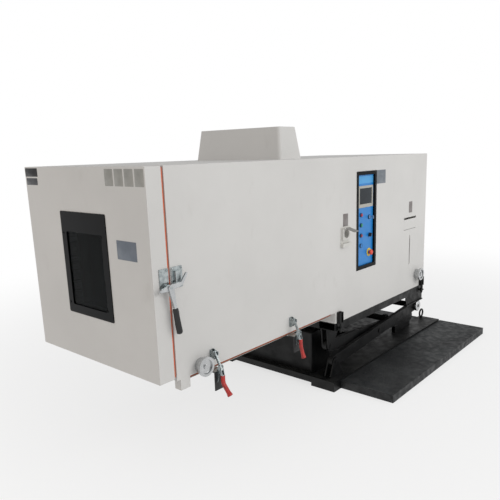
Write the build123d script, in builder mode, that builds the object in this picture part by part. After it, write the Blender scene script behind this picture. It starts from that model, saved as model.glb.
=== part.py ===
from build123d import *
from math import asin, atan2, cos, degrees, hypot, radians, sin
import os

# Environmental test chamber on a low scissor lift, in millimetres.
# +X runs from the door to the machine end, the control side faces -Y, +Z is up.
# The origin is on the floor, under the middle of the lift's base.

os.makedirs("parts", exist_ok=True)

# Chamber body
body_length = 2950.0
body_width = 1080.0
body_height = 1050.0
body_clearance = 550.0
door_face_x = -2390.0
test_section_length = 1500.0
sheet = 2.0
insulation_thickness = 108.0
floor_panel_depth = 90.0
duct_depth = 230.0

# Door
door_thickness = 90.0
door_seal_thickness = 14.0
door_seal_width = 30.0
door_seal_inset = 4.0
door_rise = 13.0
door_plug_depth = 45.0
door_plug_clearance = 15.0
window_frame_width = 411.0
window_frame_height = 555.0
window_frame_thickness = 6.0
window_width = 320.0
window_height = 400.0
window_centre_height = 543.0
window_view_centre_height = 513.0
window_rebate = 10.0
pane_thickness = 6.0
pane_fit = 0.2

# Door hinges and latch
hinge_offset_y = 22.0
hinge_leaf_height = 120.0
hinge_leaf_length = 66.0
hinge_leaf_thickness = 6.0
hinge_knuckle_radius = 14.0
hinge_pin_radius = 7.0
hinge_gap = 0.5
hinge_low_height = 213.0
hinge_top_drop = 200.0
latch_height = 488.0
latch_plate_height = 120.0
latch_plate_thickness = 5.0
latch_stud_radius = 6.0
latch_lever_thickness = 14.0
latch_lever_standoff = 22.0

# Lift
rail_width = 196.0
rail_height = 70.0
rail_outset = 46.0
rail_start_x = -950.0
rail_end_x = 840.0
rail_plate = 6.0
cross_tube_x = (-460.0, 0.0, 400.0, 780.0)
deck_height = 55.0
deck_plate = 5.0
deck_start_x = -860.0
deck_end_x = 860.0
side_deck_width = 404.0
pivot_x = -820.0
arm_pitch = 1304.0
arm_radius = 42.0
arm_thickness = 30.0
outer_arm_inset = 45.0
arm_spacing = 48.0
roller_radius = 45.0
roller_width = 24.0
roller_gap = 0.3
track_depth = 57.0
track_width = 32.0
track_margin = 60.0
lift_swing = 25.0
axle_radius = 15.0
centre_pin_radius = 20.0
running_fit = 0.06
pin_gap = 0.05
cheek_thickness = 10.0
cheek_gap = 3.0
cheek_radius = 34.0
beam_width = 140.0
beam_height = 58.0
beam_wall = 5.0
upper_pivot_drop = 132.0
cross_tube_radius = 25.0
cross_tube_wall = 5.0

# Hydraulic cylinder: its eye rides on a tube between the inner arms
ram_anchor_along = 508.0
ram_anchor_drop = 70.0
ram_eye_along = 796.0
ram_eye_rise = 52.0
ram_tube_along = 856.0
ram_pin_radius = 12.0
ram_eye_clearance = 3.6
ram_eye_radius = 28.0
ram_eye_width = 36.0
ram_lug_thickness = 10.0
barrel_radius = 38.0
barrel_bore_radius = 28.0
barrel_length = 250.0
rod_radius = 16.0

# Machine section
skirt_height = 82.0
skirt_start = 1525.0
skirt_wall = 3.0
hood_start = 1160.0
hood_length = 226.0
hood_width = 760.0
hood_height = 200.0
hood_taper = 26.0

# Control panel on the side, its middle measured from the door face and from the roof
panel_centre = 1942.0
panel_drop = 456.0
bezel_width = 279.0
bezel_height = 706.0
bezel_margin = 26.0
bezel_proud = 3.0
panel_recess = 12.0
panel_plate = 4.0
screen_width = 205.0
screen_height = 155.0
screen_depth = 5.0
screen_rise = 172.0
column_offset = 58.0
button_radius = 11.0
button_travel = 3.0
estop_travel = 4.0

# Socket, water filling flap and sight gauge
socket_centre = 1650.0
socket_centre_height = 515.0
socket_width = 108.0
socket_height = 139.0
socket_depth = 16.0
flap_centre = 2656.0
flap_width = 218.0
flap_bottom = 440.0
flap_height = 87.0
finger_slot = 15.0
flap_thickness = 12.0
flap_gap = 0.8
gauge_centre = 2658.0
gauge_bottom = 142.0
gauge_height = 246.0
gauge_width = 14.0

# Toggle clamps on the lower edge
clamp_positions = (345.0, 1025.0)
clamp_pivot_out = 62.0
clamp_pivot_height = 10.0
clamp_crank = 16.0
catch_pin_out = 22.6
catch_pin_height = 86.7
clamp_pin_radius = 4.0

# Derived places of the body
half_width = body_width / 2
body_bottom = body_clearance
body_top = body_bottom + body_height
body_rear_x = door_face_x + body_length
door_back_x = door_face_x + door_thickness
body_front_x = door_back_x + door_seal_thickness
bulkhead_x = door_face_x + test_section_length
door_bottom = body_bottom + door_rise
space_half_width = half_width - sheet - insulation_thickness
space_top = body_top - sheet - insulation_thickness
space_floor = body_bottom + floor_panel_depth
liner_rear_x = bulkhead_x - insulation_thickness
baffle_x = liner_rear_x - duct_depth
inner_half_width = half_width - sheet
skirt_x = door_face_x + skirt_start
skirt_bottom = body_bottom - skirt_height
seal_start_x = door_face_x + 188.0
seal_end_x = bulkhead_x - 21.0
seal_thickness = 10.0
flange_top = body_bottom - seal_thickness
flange_thickness = 3.0
flange_bottom = flange_top - flange_thickness

# Derived places of the lift
beam_top = skirt_bottom
beam_bottom = beam_top - beam_height
upper_pivot_z = beam_bottom - upper_pivot_drop
lower_pivot_z = rail_height + track_depth + roller_gap + roller_radius
rest_angle = asin((upper_pivot_z - lower_pivot_z) / arm_pitch)
raised_angle = rest_angle + radians(lift_swing)
roller_rest_x = pivot_x + arm_pitch * cos(rest_angle)
roller_raised_x = pivot_x + arm_pitch * cos(raised_angle)
track_start_x = roller_raised_x - track_margin
track_end_x = roller_rest_x + track_margin
rail_outer_y = half_width + rail_outset
rail_inner_y = rail_outer_y - rail_width
rail_y = (rail_inner_y + rail_outer_y) / 2
outer_arm_y = half_width - outer_arm_inset
inner_arm_y = outer_arm_y - arm_spacing
beam_inner_y = half_width - beam_width
outer_arm_face = outer_arm_y + arm_thickness / 2
inner_arm_face = inner_arm_y - arm_thickness / 2
upper_roller_y = outer_arm_face + roller_width / 2 + 4
lower_roller_y = inner_arm_face - roller_width / 2 - 4


def save(piece, name):
    """Label a finished piece and write it as the STEP file of its node."""
    piece.part.label = name
    export_step(piece.part, f"parts/{name}.step")


def arm_plane(height, tilt, y):
    """Plane of a scissor arm: origin on its left pivot, x along the arm, normal to the control side."""
    return Plane(origin=(pivot_x, -y, height), x_dir=(cos(tilt), 0, sin(tilt)), z_dir=(0, -1, 0))


# Base frame: two channel rails on the floor, joined by square tubes
with BuildPart() as base_frame:
    rail_length = rail_end_x - rail_start_x
    rail_centre_x = (rail_start_x + rail_end_x) / 2
    with Locations((rail_centre_x, -rail_y, 0), (rail_centre_x, rail_y, 0)):
        Box(rail_length, rail_width, rail_height, align=(Align.CENTER, Align.CENTER, Align.MIN))
    offset(amount=-rail_plate, openings=base_frame.faces().filter_by(Axis.Z).group_by(Axis.Z)[0])
    cross_width = 60.0
    cross_wall = 4.0
    end_height = rail_height - 25.0
    under_deck = deck_height - deck_plate
    with BuildSketch(Plane.XZ) as end_tube:
        with Locations((rail_start_x + cross_width / 2, rail_height - end_height / 2)):
            Rectangle(cross_width, end_height)
            Rectangle(cross_width - 2 * cross_wall, end_height - 2 * cross_wall, mode=Mode.SUBTRACT)
    extrude(amount=rail_inner_y, both=True)
    with BuildSketch(Plane.XZ) as middle_tubes:
        with Locations(*[(x, under_deck / 2) for x in cross_tube_x]):
            Rectangle(cross_width, under_deck)
            Rectangle(cross_width - 2 * cross_wall, under_deck - 2 * cross_wall, mode=Mode.SUBTRACT)
    extrude(amount=rail_inner_y, both=True)
save(base_frame, "base_frame")

# Deck: a tray with turned-down edges on each side of the rails, and a flat plate between them
with BuildPart() as deck_plates:
    deck_centre_x = (deck_start_x + deck_end_x) / 2
    with Locations((deck_centre_x, -rail_outer_y, 0)):
        Box(deck_end_x - deck_start_x, side_deck_width, deck_height, align=(Align.CENTER, Align.MAX, Align.MIN))
    offset(amount=-deck_plate, openings=deck_plates.faces().sort_by(Axis.Z)[0])
    mirror(about=Plane.XZ)
    middle_start_x = rail_start_x + cross_width
    with BuildSketch(Plane.XZ) as middle_deck:
        with BuildLine():
            Polyline((middle_start_x, deck_height - deck_plate), (middle_start_x, deck_height),
                     (rail_end_x, deck_height), (rail_end_x, deck_plate), (rail_end_x - deck_plate, deck_plate),
                     (rail_end_x - deck_plate, deck_height - deck_plate), close=True)
        make_face()
    extrude(amount=rail_inner_y - 0.5, both=True)
save(deck_plates, "deck_plates")

# Lifting eyes on the machine end of the rails
with BuildPart() as lifting_eyes:
    eye_radius = 34.0
    eye_wire = 8.0
    eye_x = rail_end_x - 40
    eye_y = rail_inner_y + 34
    eye_z = rail_height + 10 + eye_radius
    for side in (-1, 1):
        with BuildSketch(Plane(origin=(eye_x, side * eye_y, eye_z), x_dir=(1, 0, 0), z_dir=(0, 0, 1))) as eye_section:
            with Locations((eye_radius, 0)):
                Circle(eye_wire)
        revolve(axis=Axis((eye_x, side * eye_y, eye_z), (0, 1, 0)))
    with Locations((eye_x, -eye_y, rail_height), (eye_x, eye_y, rail_height)):
        Cylinder(14, 12, align=(Align.CENTER, Align.CENTER, Align.MIN))
save(lifting_eyes, "lifting_eyes")

# Brackets on the base: cheeks of the outer arms' fixed pivots, pins, lower tracks, cylinder anchor
ram_anchor_x = pivot_x + ram_anchor_along
ram_anchor_z = lower_pivot_z - ram_anchor_drop
with BuildPart() as lift_brackets:
    cheek_faces = (outer_arm_face + cheek_gap + cheek_thickness, outer_arm_y - arm_thickness / 2 - cheek_gap)
    for face in cheek_faces:
        with BuildSketch(Plane.XZ.offset(face)) as cheek:
            with Locations((pivot_x, lower_pivot_z)):
                Circle(cheek_radius)
            with Locations((pivot_x, rail_height + 4)):
                Rectangle(150, 8)
            make_hull()
            with Locations((pivot_x, lower_pivot_z)):
                Circle(axle_radius + pin_gap, mode=Mode.SUBTRACT)
        extrude(amount=-cheek_thickness)
    with BuildSketch(Plane.XZ.offset(cheek_faces[0] + 3)) as pivot_pin:
        with Locations((pivot_x, lower_pivot_z)):
            Circle(axle_radius)
    extrude(amount=-(cheek_faces[0] - cheek_faces[1] + cheek_thickness + 6))
    with BuildSketch(Plane.YZ.offset(track_start_x)) as lower_track:
        with Locations((-lower_roller_y, rail_height + track_depth / 2)):
            Rectangle(track_width, track_depth)
            Rectangle(track_width - 10, track_depth - 10, mode=Mode.SUBTRACT)
    extrude(amount=track_end_x - track_start_x)
    mirror(about=Plane.XZ)
    lug_face = ram_eye_width / 2 + 2
    for face in (lug_face + ram_lug_thickness, -lug_face):
        with BuildSketch(Plane.XZ.offset(face)) as anchor_lug:
            with Locations((ram_anchor_x, ram_anchor_z)):
                Circle(ram_eye_radius - 4)
            with Locations((ram_anchor_x, deck_height + 3)):
                Rectangle(80, 6)
            make_hull()
            with Locations((ram_anchor_x, ram_anchor_z)):
                Circle(ram_pin_radius + pin_gap, mode=Mode.SUBTRACT)
        extrude(amount=-ram_lug_thickness)
    with BuildSketch(Plane.XZ) as anchor_pin:
        with Locations((ram_anchor_x, ram_anchor_z)):
            Circle(ram_pin_radius)
    extrude(amount=lug_face + ram_lug_thickness + 3, both=True)
save(lift_brackets, "lift_brackets")

# Power pack: a sheet cover at the door end of the base, over the pump, its motor and the oil tank
with BuildPart() as power_pack:
    cover_start_x = middle_start_x + 2
    cover_length = 246.0
    cover_half = rail_inner_y - 40
    cover_top = beam_bottom - 40
    with Locations((cover_start_x, 0, deck_height)):
        Box(cover_length, 2 * cover_half, cover_top - deck_height, align=(Align.MIN, Align.CENTER, Align.MIN))
    fillet(power_pack.edges().filter_by(Axis.Z), radius=12)
    fillet(power_pack.faces().sort_by(Axis.Z)[-1].edges(), radius=8)
    offset(amount=-3, openings=power_pack.faces().sort_by(Axis.Z)[0])
    tank_height = 120.0
    with Locations((cover_start_x + cover_length / 2, -100, deck_height)):
        Box(cover_length - 46, cover_half + 30, tank_height, align=(Align.CENTER, Align.MIN, Align.MIN))
    with BuildSketch(Plane.XZ.offset(100 - cover_half)) as motor_section:
        with Locations((cover_start_x + cover_length / 2, deck_height + tank_height + 62)):
            Circle(65)
        with Locations((cover_start_x + cover_length / 2, deck_height + tank_height + 4)):
            Rectangle(90, 12)
    extrude(amount=cover_half - 120)
save(power_pack, "power_pack")

# Outer arms: fixed at the lower left, rollers at the upper right, joined by the upper axle tube
with BuildPart() as outer_arms:
    with BuildSketch(arm_plane(lower_pivot_z, rest_angle, outer_arm_face)) as outer_outline:
        with Locations((arm_pitch / 2, 0)):
            SlotCenterToCenter(arm_pitch, 2 * arm_radius)
        Circle(axle_radius + running_fit, mode=Mode.SUBTRACT)
    extrude(amount=-arm_thickness)
    fillet(outer_arms.edges().group_by(Axis.Y)[0].filter_by(GeomType.LINE), radius=2)
    with BuildSketch(arm_plane(lower_pivot_z, rest_angle, outer_arm_face + roller_width + 5)) as upper_axle:
        with Locations((arm_pitch, 0)):
            Circle(axle_radius)
    extrude(amount=-(roller_width + 6))
    with BuildSketch(arm_plane(lower_pivot_z, rest_angle, outer_arm_y)) as centre_pin:
        with Locations((arm_pitch / 2, 0)):
            Circle(centre_pin_radius)
    extrude(amount=-(outer_arm_y - inner_arm_face + 6))
    extrude(centre_pin.sketch, amount=arm_thickness / 2 + 8)
    mirror(about=Plane.XZ)
    with BuildSketch(arm_plane(lower_pivot_z, rest_angle, 0)) as upper_tube:
        with Locations((arm_pitch, 0)):
            Circle(cross_tube_radius)
            Circle(cross_tube_radius - cross_tube_wall, mode=Mode.SUBTRACT)
    extrude(amount=outer_arm_y - arm_thickness / 2, both=True)
save(outer_arms, "outer_arms")

# Inner arms: fixed at the upper left, rollers at the lower right, with tubes across and the cylinder's lugs
with BuildPart() as inner_arms:
    with BuildSketch(arm_plane(upper_pivot_z, -rest_angle, inner_arm_y + arm_thickness / 2)) as inner_outline:
        with Locations((arm_pitch / 2, 0)):
            SlotCenterToCenter(arm_pitch, 2 * arm_radius)
        with Locations((ram_tube_along, ram_eye_rise)):
            Circle(cross_tube_radius + 10)
        with Locations((ram_tube_along, ram_eye_rise / 2)):
            Rectangle(2 * (cross_tube_radius + 10), ram_eye_rise)
        Circle(axle_radius + running_fit, mode=Mode.SUBTRACT)
        with Locations((arm_pitch / 2, 0)):
            Circle(centre_pin_radius + running_fit, mode=Mode.SUBTRACT)
    extrude(amount=-arm_thickness)
    with BuildSketch(arm_plane(upper_pivot_z, -rest_angle, inner_arm_face)) as lower_axle:
        with Locations((arm_pitch, 0)):
            Circle(axle_radius)
    extrude(amount=-(roller_width + 6))
    mirror(about=Plane.XZ)
    with BuildSketch(arm_plane(upper_pivot_z, -rest_angle, 0)) as inner_tubes:
        with Locations((ram_tube_along, ram_eye_rise), (arm_pitch / 4, 0)):
            Circle(cross_tube_radius)
            Circle(cross_tube_radius - cross_tube_wall, mode=Mode.SUBTRACT)
    extrude(amount=inner_arm_face, both=True)
    for face in (lug_face + ram_lug_thickness, -lug_face):
        with BuildSketch(arm_plane(upper_pivot_z, -rest_angle, face)) as eye_lug:
            with Locations((ram_tube_along, ram_eye_rise)):
                Circle(cross_tube_radius + 5)
            with Locations((ram_eye_along, ram_eye_rise)):
                Circle(ram_pin_radius + 9)
            make_hull()
            with Locations((ram_eye_along, ram_eye_rise)):
                Circle(ram_pin_radius + pin_gap, mode=Mode.SUBTRACT)
            with Locations((ram_tube_along, ram_eye_rise)):
                Circle(cross_tube_radius - 1, mode=Mode.SUBTRACT)
        extrude(amount=-ram_lug_thickness)
    with BuildSketch(arm_plane(upper_pivot_z, -rest_angle, 0)) as eye_pin:
        with Locations((ram_eye_along, ram_eye_rise)):
            Circle(ram_pin_radius)
    extrude(amount=lug_face + ram_lug_thickness + 3, both=True)
save(inner_arms, "inner_arms")

# Rollers: one pair under the top frame's tracks, one pair on the base's tracks
upper_roller_centre = (roller_rest_x, upper_pivot_z)
lower_roller_centre = (roller_rest_x, lower_pivot_z)
with BuildPart() as upper_rollers:
    with BuildSketch(Plane.XZ.offset(upper_roller_y + roller_width / 2)) as upper_roller_section:
        with Locations(upper_roller_centre):
            Circle(roller_radius)
            Circle(axle_radius + running_fit, mode=Mode.SUBTRACT)
    extrude(amount=-roller_width)
    chamfer(upper_rollers.edges().filter_by(GeomType.CIRCLE).group_by(SortBy.RADIUS)[-1], length=2)
    mirror(about=Plane.XZ)
save(upper_rollers, "upper_rollers")

with BuildPart() as lower_rollers:
    with BuildSketch(Plane.XZ.offset(lower_roller_y + roller_width / 2)) as lower_roller_section:
        with Locations(lower_roller_centre):
            Circle(roller_radius)
            Circle(axle_radius + running_fit, mode=Mode.SUBTRACT)
    extrude(amount=-roller_width)
    chamfer(lower_rollers.edges().filter_by(GeomType.CIRCLE).group_by(SortBy.RADIUS)[-1], length=2)
    mirror(about=Plane.XZ)
save(lower_rollers, "lower_rollers")

# Hydraulic cylinder, drawn along the line from its anchor to its eye
eye_x_at_rest = pivot_x + ram_eye_along * cos(rest_angle) + ram_eye_rise * sin(rest_angle)
eye_z_at_rest = upper_pivot_z - ram_eye_along * sin(rest_angle) + ram_eye_rise * cos(rest_angle)
ram_length = hypot(eye_x_at_rest - ram_anchor_x, eye_z_at_rest - ram_anchor_z)
ram_tilt = atan2(eye_z_at_rest - ram_anchor_z, eye_x_at_rest - ram_anchor_x)
ram_plane = Plane(origin=(ram_anchor_x, 0, ram_anchor_z), x_dir=(cos(ram_tilt), 0, sin(ram_tilt)), z_dir=(0, -1, 0))
ram_axis = Axis((ram_anchor_x, 0, ram_anchor_z), (cos(ram_tilt), 0, sin(ram_tilt)))
gland = 12.0
with BuildPart() as cylinder_barrel:
    with BuildSketch(ram_plane) as barrel_section:
        with BuildLine():
            Polyline((ram_eye_radius + 2, 0), (ram_eye_radius + 2, barrel_radius - 8), (ram_eye_radius + 10, barrel_radius),
                     (barrel_length, barrel_radius), (barrel_length, rod_radius + running_fit),
                     (barrel_length - gland, rod_radius + running_fit),
                     (barrel_length - gland, barrel_bore_radius), (60, barrel_bore_radius), (60, 0), close=True)
        make_face()
    revolve(axis=ram_axis)
    with BuildSketch(ram_plane) as barrel_eye:
        Circle(ram_eye_radius)
        with Locations((ram_eye_radius / 2 + 2, 0)):
            Rectangle(ram_eye_radius + 4, 40)
    extrude(amount=ram_eye_width / 2, both=True)
    with BuildSketch(ram_plane) as barrel_hole:
        Circle(ram_pin_radius + running_fit)
    extrude(amount=ram_eye_width, both=True, mode=Mode.SUBTRACT)
save(cylinder_barrel, "cylinder_barrel")

piston_start = barrel_length - 130.0
with BuildPart() as cylinder_rod:
    with BuildSketch(ram_plane) as rod_section:
        with BuildLine():
            Polyline((piston_start, 0), (piston_start, barrel_bore_radius - running_fit),
                     (piston_start + 24, barrel_bore_radius - running_fit), (piston_start + 24, rod_radius),
                     (ram_length - ram_eye_radius + 4, rod_radius), (ram_length - ram_eye_radius + 4, 0), close=True)
        make_face()
    revolve(axis=ram_axis)
    with BuildSketch(ram_plane) as rod_eye:
        with Locations((ram_length, 0)):
            Circle(ram_eye_radius)
    extrude(amount=ram_eye_width / 2, both=True)
    with BuildSketch(ram_plane) as rod_hole:
        with Locations((ram_length, 0)):
            Circle(ram_pin_radius + ram_eye_clearance)
    extrude(amount=ram_eye_width, both=True, mode=Mode.SUBTRACT)
save(cylinder_rod, "cylinder_rod")

# Lift top frame: box beams, hanging cheeks and pins of the inner arms' fixed pivots, upper tracks
with BuildPart() as lift_top_frame:
    with BuildSketch(Plane.YZ.offset(skirt_x)) as side_beam:
        with Locations((-(half_width - beam_width / 2), beam_bottom + beam_height / 2)):
            Rectangle(beam_width, beam_height)
            Rectangle(beam_width - 2 * beam_wall, beam_height - 2 * beam_wall, mode=Mode.SUBTRACT)
    extrude(amount=body_rear_x - skirt_x)
    for face in (inner_arm_y + arm_thickness / 2 + cheek_gap + cheek_thickness, inner_arm_face - cheek_gap):
        with BuildSketch(Plane.XZ.offset(face)) as hanging_cheek:
            with Locations((pivot_x, upper_pivot_z)):
                Circle(cheek_radius)
            with Locations((pivot_x + 30, beam_bottom - 4)):
                Rectangle(150, 8)
            make_hull()
            with Locations((pivot_x, upper_pivot_z)):
                Circle(axle_radius + pin_gap, mode=Mode.SUBTRACT)
        extrude(amount=-cheek_thickness)
    with BuildSketch(Plane.XZ.offset(inner_arm_y + arm_thickness / 2 + cheek_gap + cheek_thickness + 3)) as top_pin:
        with Locations((pivot_x, upper_pivot_z)):
            Circle(axle_radius)
    extrude(amount=-(arm_thickness + 2 * cheek_gap + 2 * cheek_thickness + 6))
    upper_track_bottom = upper_pivot_z + roller_radius + roller_gap
    with BuildSketch(Plane.YZ.offset(track_start_x)) as upper_track:
        with Locations((-upper_roller_y, upper_track_bottom)):
            Rectangle(roller_width + 3, 10, align=(Align.CENTER, Align.MIN))
            Rectangle(10, beam_bottom - upper_track_bottom, align=(Align.CENTER, Align.MIN))
    extrude(amount=body_rear_x - track_start_x)
    mirror(about=Plane.XZ)
    with BuildSketch(Plane.XZ) as cross_beams:
        with Locations(*[(x, beam_bottom + beam_height / 2) for x in (skirt_x + 40, -150, body_rear_x - 40)]):
            Rectangle(80, beam_height)
            Rectangle(80 - 2 * beam_wall, beam_height - 2 * beam_wall, mode=Mode.SUBTRACT)
    extrude(amount=beam_inner_y, both=True)
save(lift_top_frame, "lift_top_frame")

# White skirt under the machine section, a pan with its walls turned down, and a lip towards the test section
with BuildPart() as machine_skirt:
    with Locations((skirt_x, 0, skirt_bottom)):
        Box(body_rear_x - skirt_x, body_width, skirt_height, align=(Align.MIN, Align.CENTER, Align.MIN))
    offset(amount=-skirt_wall, openings=machine_skirt.faces().sort_by(Axis.Z)[0])
    with Locations((seal_end_x, 0, body_bottom - skirt_wall)):
        Box(skirt_x - seal_end_x + 1, body_width, skirt_wall, align=(Align.MIN, Align.CENTER, Align.MIN))
save(machine_skirt, "machine_skirt")

# Hold-down clamps: a channel on the skirt with a long stud and its nuts, two on each side
hold_down_x = (skirt_x + 42, body_rear_x - 70)
with BuildPart() as hold_down_clamps:
    channel_width = 40.0
    channel_depth = 30.0
    channel_top = body_bottom - 4
    channel_height = 78.0
    for x in hold_down_x:
        with BuildSketch(Plane.XY.offset(channel_top)) as channel:
            with Locations((x, -half_width)):
                Rectangle(channel_width, channel_depth, align=(Align.CENTER, Align.MAX))
                with Locations((0, -6)):
                    Rectangle(channel_width - 12, channel_depth, align=(Align.CENTER, Align.MAX), mode=Mode.SUBTRACT)
        extrude(amount=-channel_height)
        with BuildSketch(Plane.XY.offset(beam_bottom + 12)) as foot_lug:
            with Locations((x, -half_width)):
                Rectangle(channel_width, channel_depth, align=(Align.CENTER, Align.MAX))
            with Locations((x, -half_width - 18)):
                Circle(7 + pin_gap, mode=Mode.SUBTRACT)
        extrude(amount=10)
        with BuildSketch(Plane.XY.offset(beam_bottom - 12)) as stud:
            with Locations((x, -half_width - 18)):
                Circle(7)
        extrude(amount=channel_top - beam_bottom + 18)
        for nut_z in (beam_bottom - 1, beam_bottom + 22, channel_top - 8):
            with BuildSketch(Plane.XY.offset(nut_z)) as nut:
                with Locations((x, -half_width - 18)):
                    RegularPolygon(11, 6)
            extrude(amount=11)
    mirror(about=Plane.XZ)
save(hold_down_clamps, "hold_down_clamps")

# Control side panel: one long sheet with a tab over the front leg and openings for the controls
leg_start_x = door_face_x + 126.0
leg_drop = 58.0
panel_x = door_face_x + panel_centre
panel_z = body_top - panel_drop
bezel_body_width = bezel_width - 12
bezel_body_height = bezel_height - 12
socket_x = door_face_x + socket_centre
socket_z = body_bottom + socket_centre_height
flap_x = door_face_x + flap_centre
flap_z = body_bottom + flap_bottom
gauge_x = door_face_x + gauge_centre
gauge_z = body_bottom + gauge_bottom + gauge_height / 2
socket_body_width = socket_width - 24
socket_body_height = socket_height - 24
with BuildPart() as side_panel_control:
    with BuildSketch(Plane.XZ.offset(half_width)) as control_side:
        with BuildLine():
            Polyline((body_front_x, body_top), (body_rear_x, body_top), (body_rear_x, body_bottom),
                     (seal_start_x, body_bottom), (seal_start_x, body_bottom - leg_drop),
                     (leg_start_x, body_bottom - leg_drop), (leg_start_x, body_bottom),
                     (body_front_x, body_bottom), close=True)
        make_face()
        with Locations((panel_x, panel_z)):
            Rectangle(bezel_body_width, bezel_body_height, mode=Mode.SUBTRACT)
        with Locations((socket_x, socket_z)):
            Rectangle(socket_body_width, socket_body_height, mode=Mode.SUBTRACT)
        with Locations((flap_x, flap_z)):
            Rectangle(flap_width, flap_height + finger_slot, align=(Align.CENTER, Align.MIN), mode=Mode.SUBTRACT)
        with Locations((gauge_x, gauge_z)):
            SlotOverall(gauge_height, gauge_width, rotation=90, mode=Mode.SUBTRACT)
    extrude(amount=-sheet)
save(side_panel_control, "side_panel_control")

# Back side panel: the same sheet with no openings
with BuildPart() as side_panel_back:
    with BuildSketch(Plane.XZ.offset(-half_width)) as back_side:
        with BuildLine():
            Polyline((body_front_x, body_top), (body_rear_x, body_top), (body_rear_x, body_bottom),
                     (seal_start_x, body_bottom), (seal_start_x, body_bottom - leg_drop),
                     (leg_start_x, body_bottom - leg_drop), (leg_start_x, body_bottom),
                     (body_front_x, body_bottom), close=True)
        make_face()
    extrude(amount=sheet)
save(side_panel_back, "side_panel_back")

# Roof panel with the hole for the fan shaft
fan_x = (baffle_x + liner_rear_x) / 2
fan_shaft_radius = 8.0
shaft_hole_radius = 20.0
with BuildPart() as roof_panel:
    with BuildSketch(Plane.XY.offset(body_top - sheet)) as roof_outline:
        with Locations(((body_front_x + body_rear_x) / 2, 0)):
            Rectangle(body_rear_x - body_front_x, 2 * inner_half_width)
        with Locations((fan_x, 0)):
            Circle(shaft_hole_radius, mode=Mode.SUBTRACT)
    extrude(amount=sheet)
save(roof_panel, "roof_panel")

# Rear panel with two banks of pressed louvres for the condenser's air
louvre_width = 380.0
louvre_pitch = 40.0
louvre_rows = 14
louvre_gap = 16.0
louvre_heights = [body_bottom + 250 + row * louvre_pitch for row in range(louvre_rows)]
with BuildPart() as rear_panel:
    with BuildSketch(Plane.YZ.offset(body_rear_x)) as rear_outline:
        with Locations((0, body_bottom)):
            Rectangle(2 * inner_half_width, body_height - sheet, align=(Align.CENTER, Align.MIN))
        with Locations(*[(y, z) for y in (-220.0, 220.0) for z in louvre_heights]):
            Rectangle(louvre_width, louvre_gap, mode=Mode.SUBTRACT)
    extrude(amount=-sheet)
    for bank_y in (-220.0, 220.0):
        with BuildSketch(Plane.XZ.offset(louvre_width / 2 - bank_y)) as louvre_blades:
            for z in louvre_heights:
                with BuildLine():
                    Polyline((body_rear_x - sheet, z + louvre_gap / 2), (body_rear_x, z + louvre_gap / 2),
                             (body_rear_x + 14, z - louvre_gap / 2), (body_rear_x + 11, z - louvre_gap / 2),
                             close=True)
                make_face()
        extrude(amount=-louvre_width)
save(rear_panel, "rear_panel")

# Motor hood on the roof, a folded cover with sloping walls
hood_x = door_face_x + hood_start + hood_length / 2
with BuildPart() as motor_hood:
    with BuildSketch(Plane.XY.offset(body_top)) as hood_base:
        with Locations((hood_x, 0)):
            RectangleRounded(hood_length, hood_width, 24)
    with BuildSketch(Plane.XY.offset(body_top + hood_height)) as hood_top:
        with Locations((hood_x, 0)):
            RectangleRounded(hood_length - 2 * hood_taper, hood_width - 2 * hood_taper, 24)
    loft()
    fillet(motor_hood.faces().sort_by(Axis.Z)[-1].edges(), radius=2 * sheet)
    with BuildSketch(Plane.XY.offset(body_top)) as hood_inner_base:
        with Locations((hood_x, 0)):
            RectangleRounded(hood_length - 2 * sheet, hood_width - 2 * sheet, 22)
    with BuildSketch(Plane.XY.offset(body_top + hood_height - sheet)) as hood_inner_top:
        with Locations((hood_x, 0)):
            RectangleRounded(hood_length - 2 * hood_taper - 2 * sheet, hood_width - 2 * hood_taper - 2 * sheet, 22)
    loft(mode=Mode.SUBTRACT)
save(motor_hood, "motor_hood")

# Front frame: the ring that the door closes on, its bottom plate and the two hollow legs
frame_plate = 3.0
sill_end_x = seal_start_x + 40
leg_depth = 44.0
with BuildPart() as front_frame:
    with BuildSketch(Plane.YZ.offset(body_front_x)) as frame_ring:
        with Locations((0, body_bottom)):
            Rectangle(2 * inner_half_width, body_height - sheet, align=(Align.CENTER, Align.MIN))
        with Locations((0, space_floor)):
            Rectangle(2 * space_half_width, space_top - space_floor, align=(Align.CENTER, Align.MIN), mode=Mode.SUBTRACT)
    extrude(amount=frame_plate)
    with BuildSketch(Plane.XY.offset(body_bottom)) as sill_plate:
        with Locations((body_front_x, 0)):
            Rectangle(sill_end_x - body_front_x, 2 * inner_half_width, align=(Align.MIN, Align.CENTER))
    extrude(amount=frame_plate)
    with BuildSketch(Plane.XY.offset(body_bottom)) as legs:
        for side in (-1, 1):
            with Locations(((leg_start_x + seal_start_x) / 2, side * (inner_half_width - leg_depth / 2))):
                Rectangle(seal_start_x - leg_start_x, leg_depth)
                Rectangle(seal_start_x - leg_start_x - 6, leg_depth - 6, mode=Mode.SUBTRACT)
    extrude(amount=-leg_drop)
save(front_frame, "front_frame")

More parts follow.
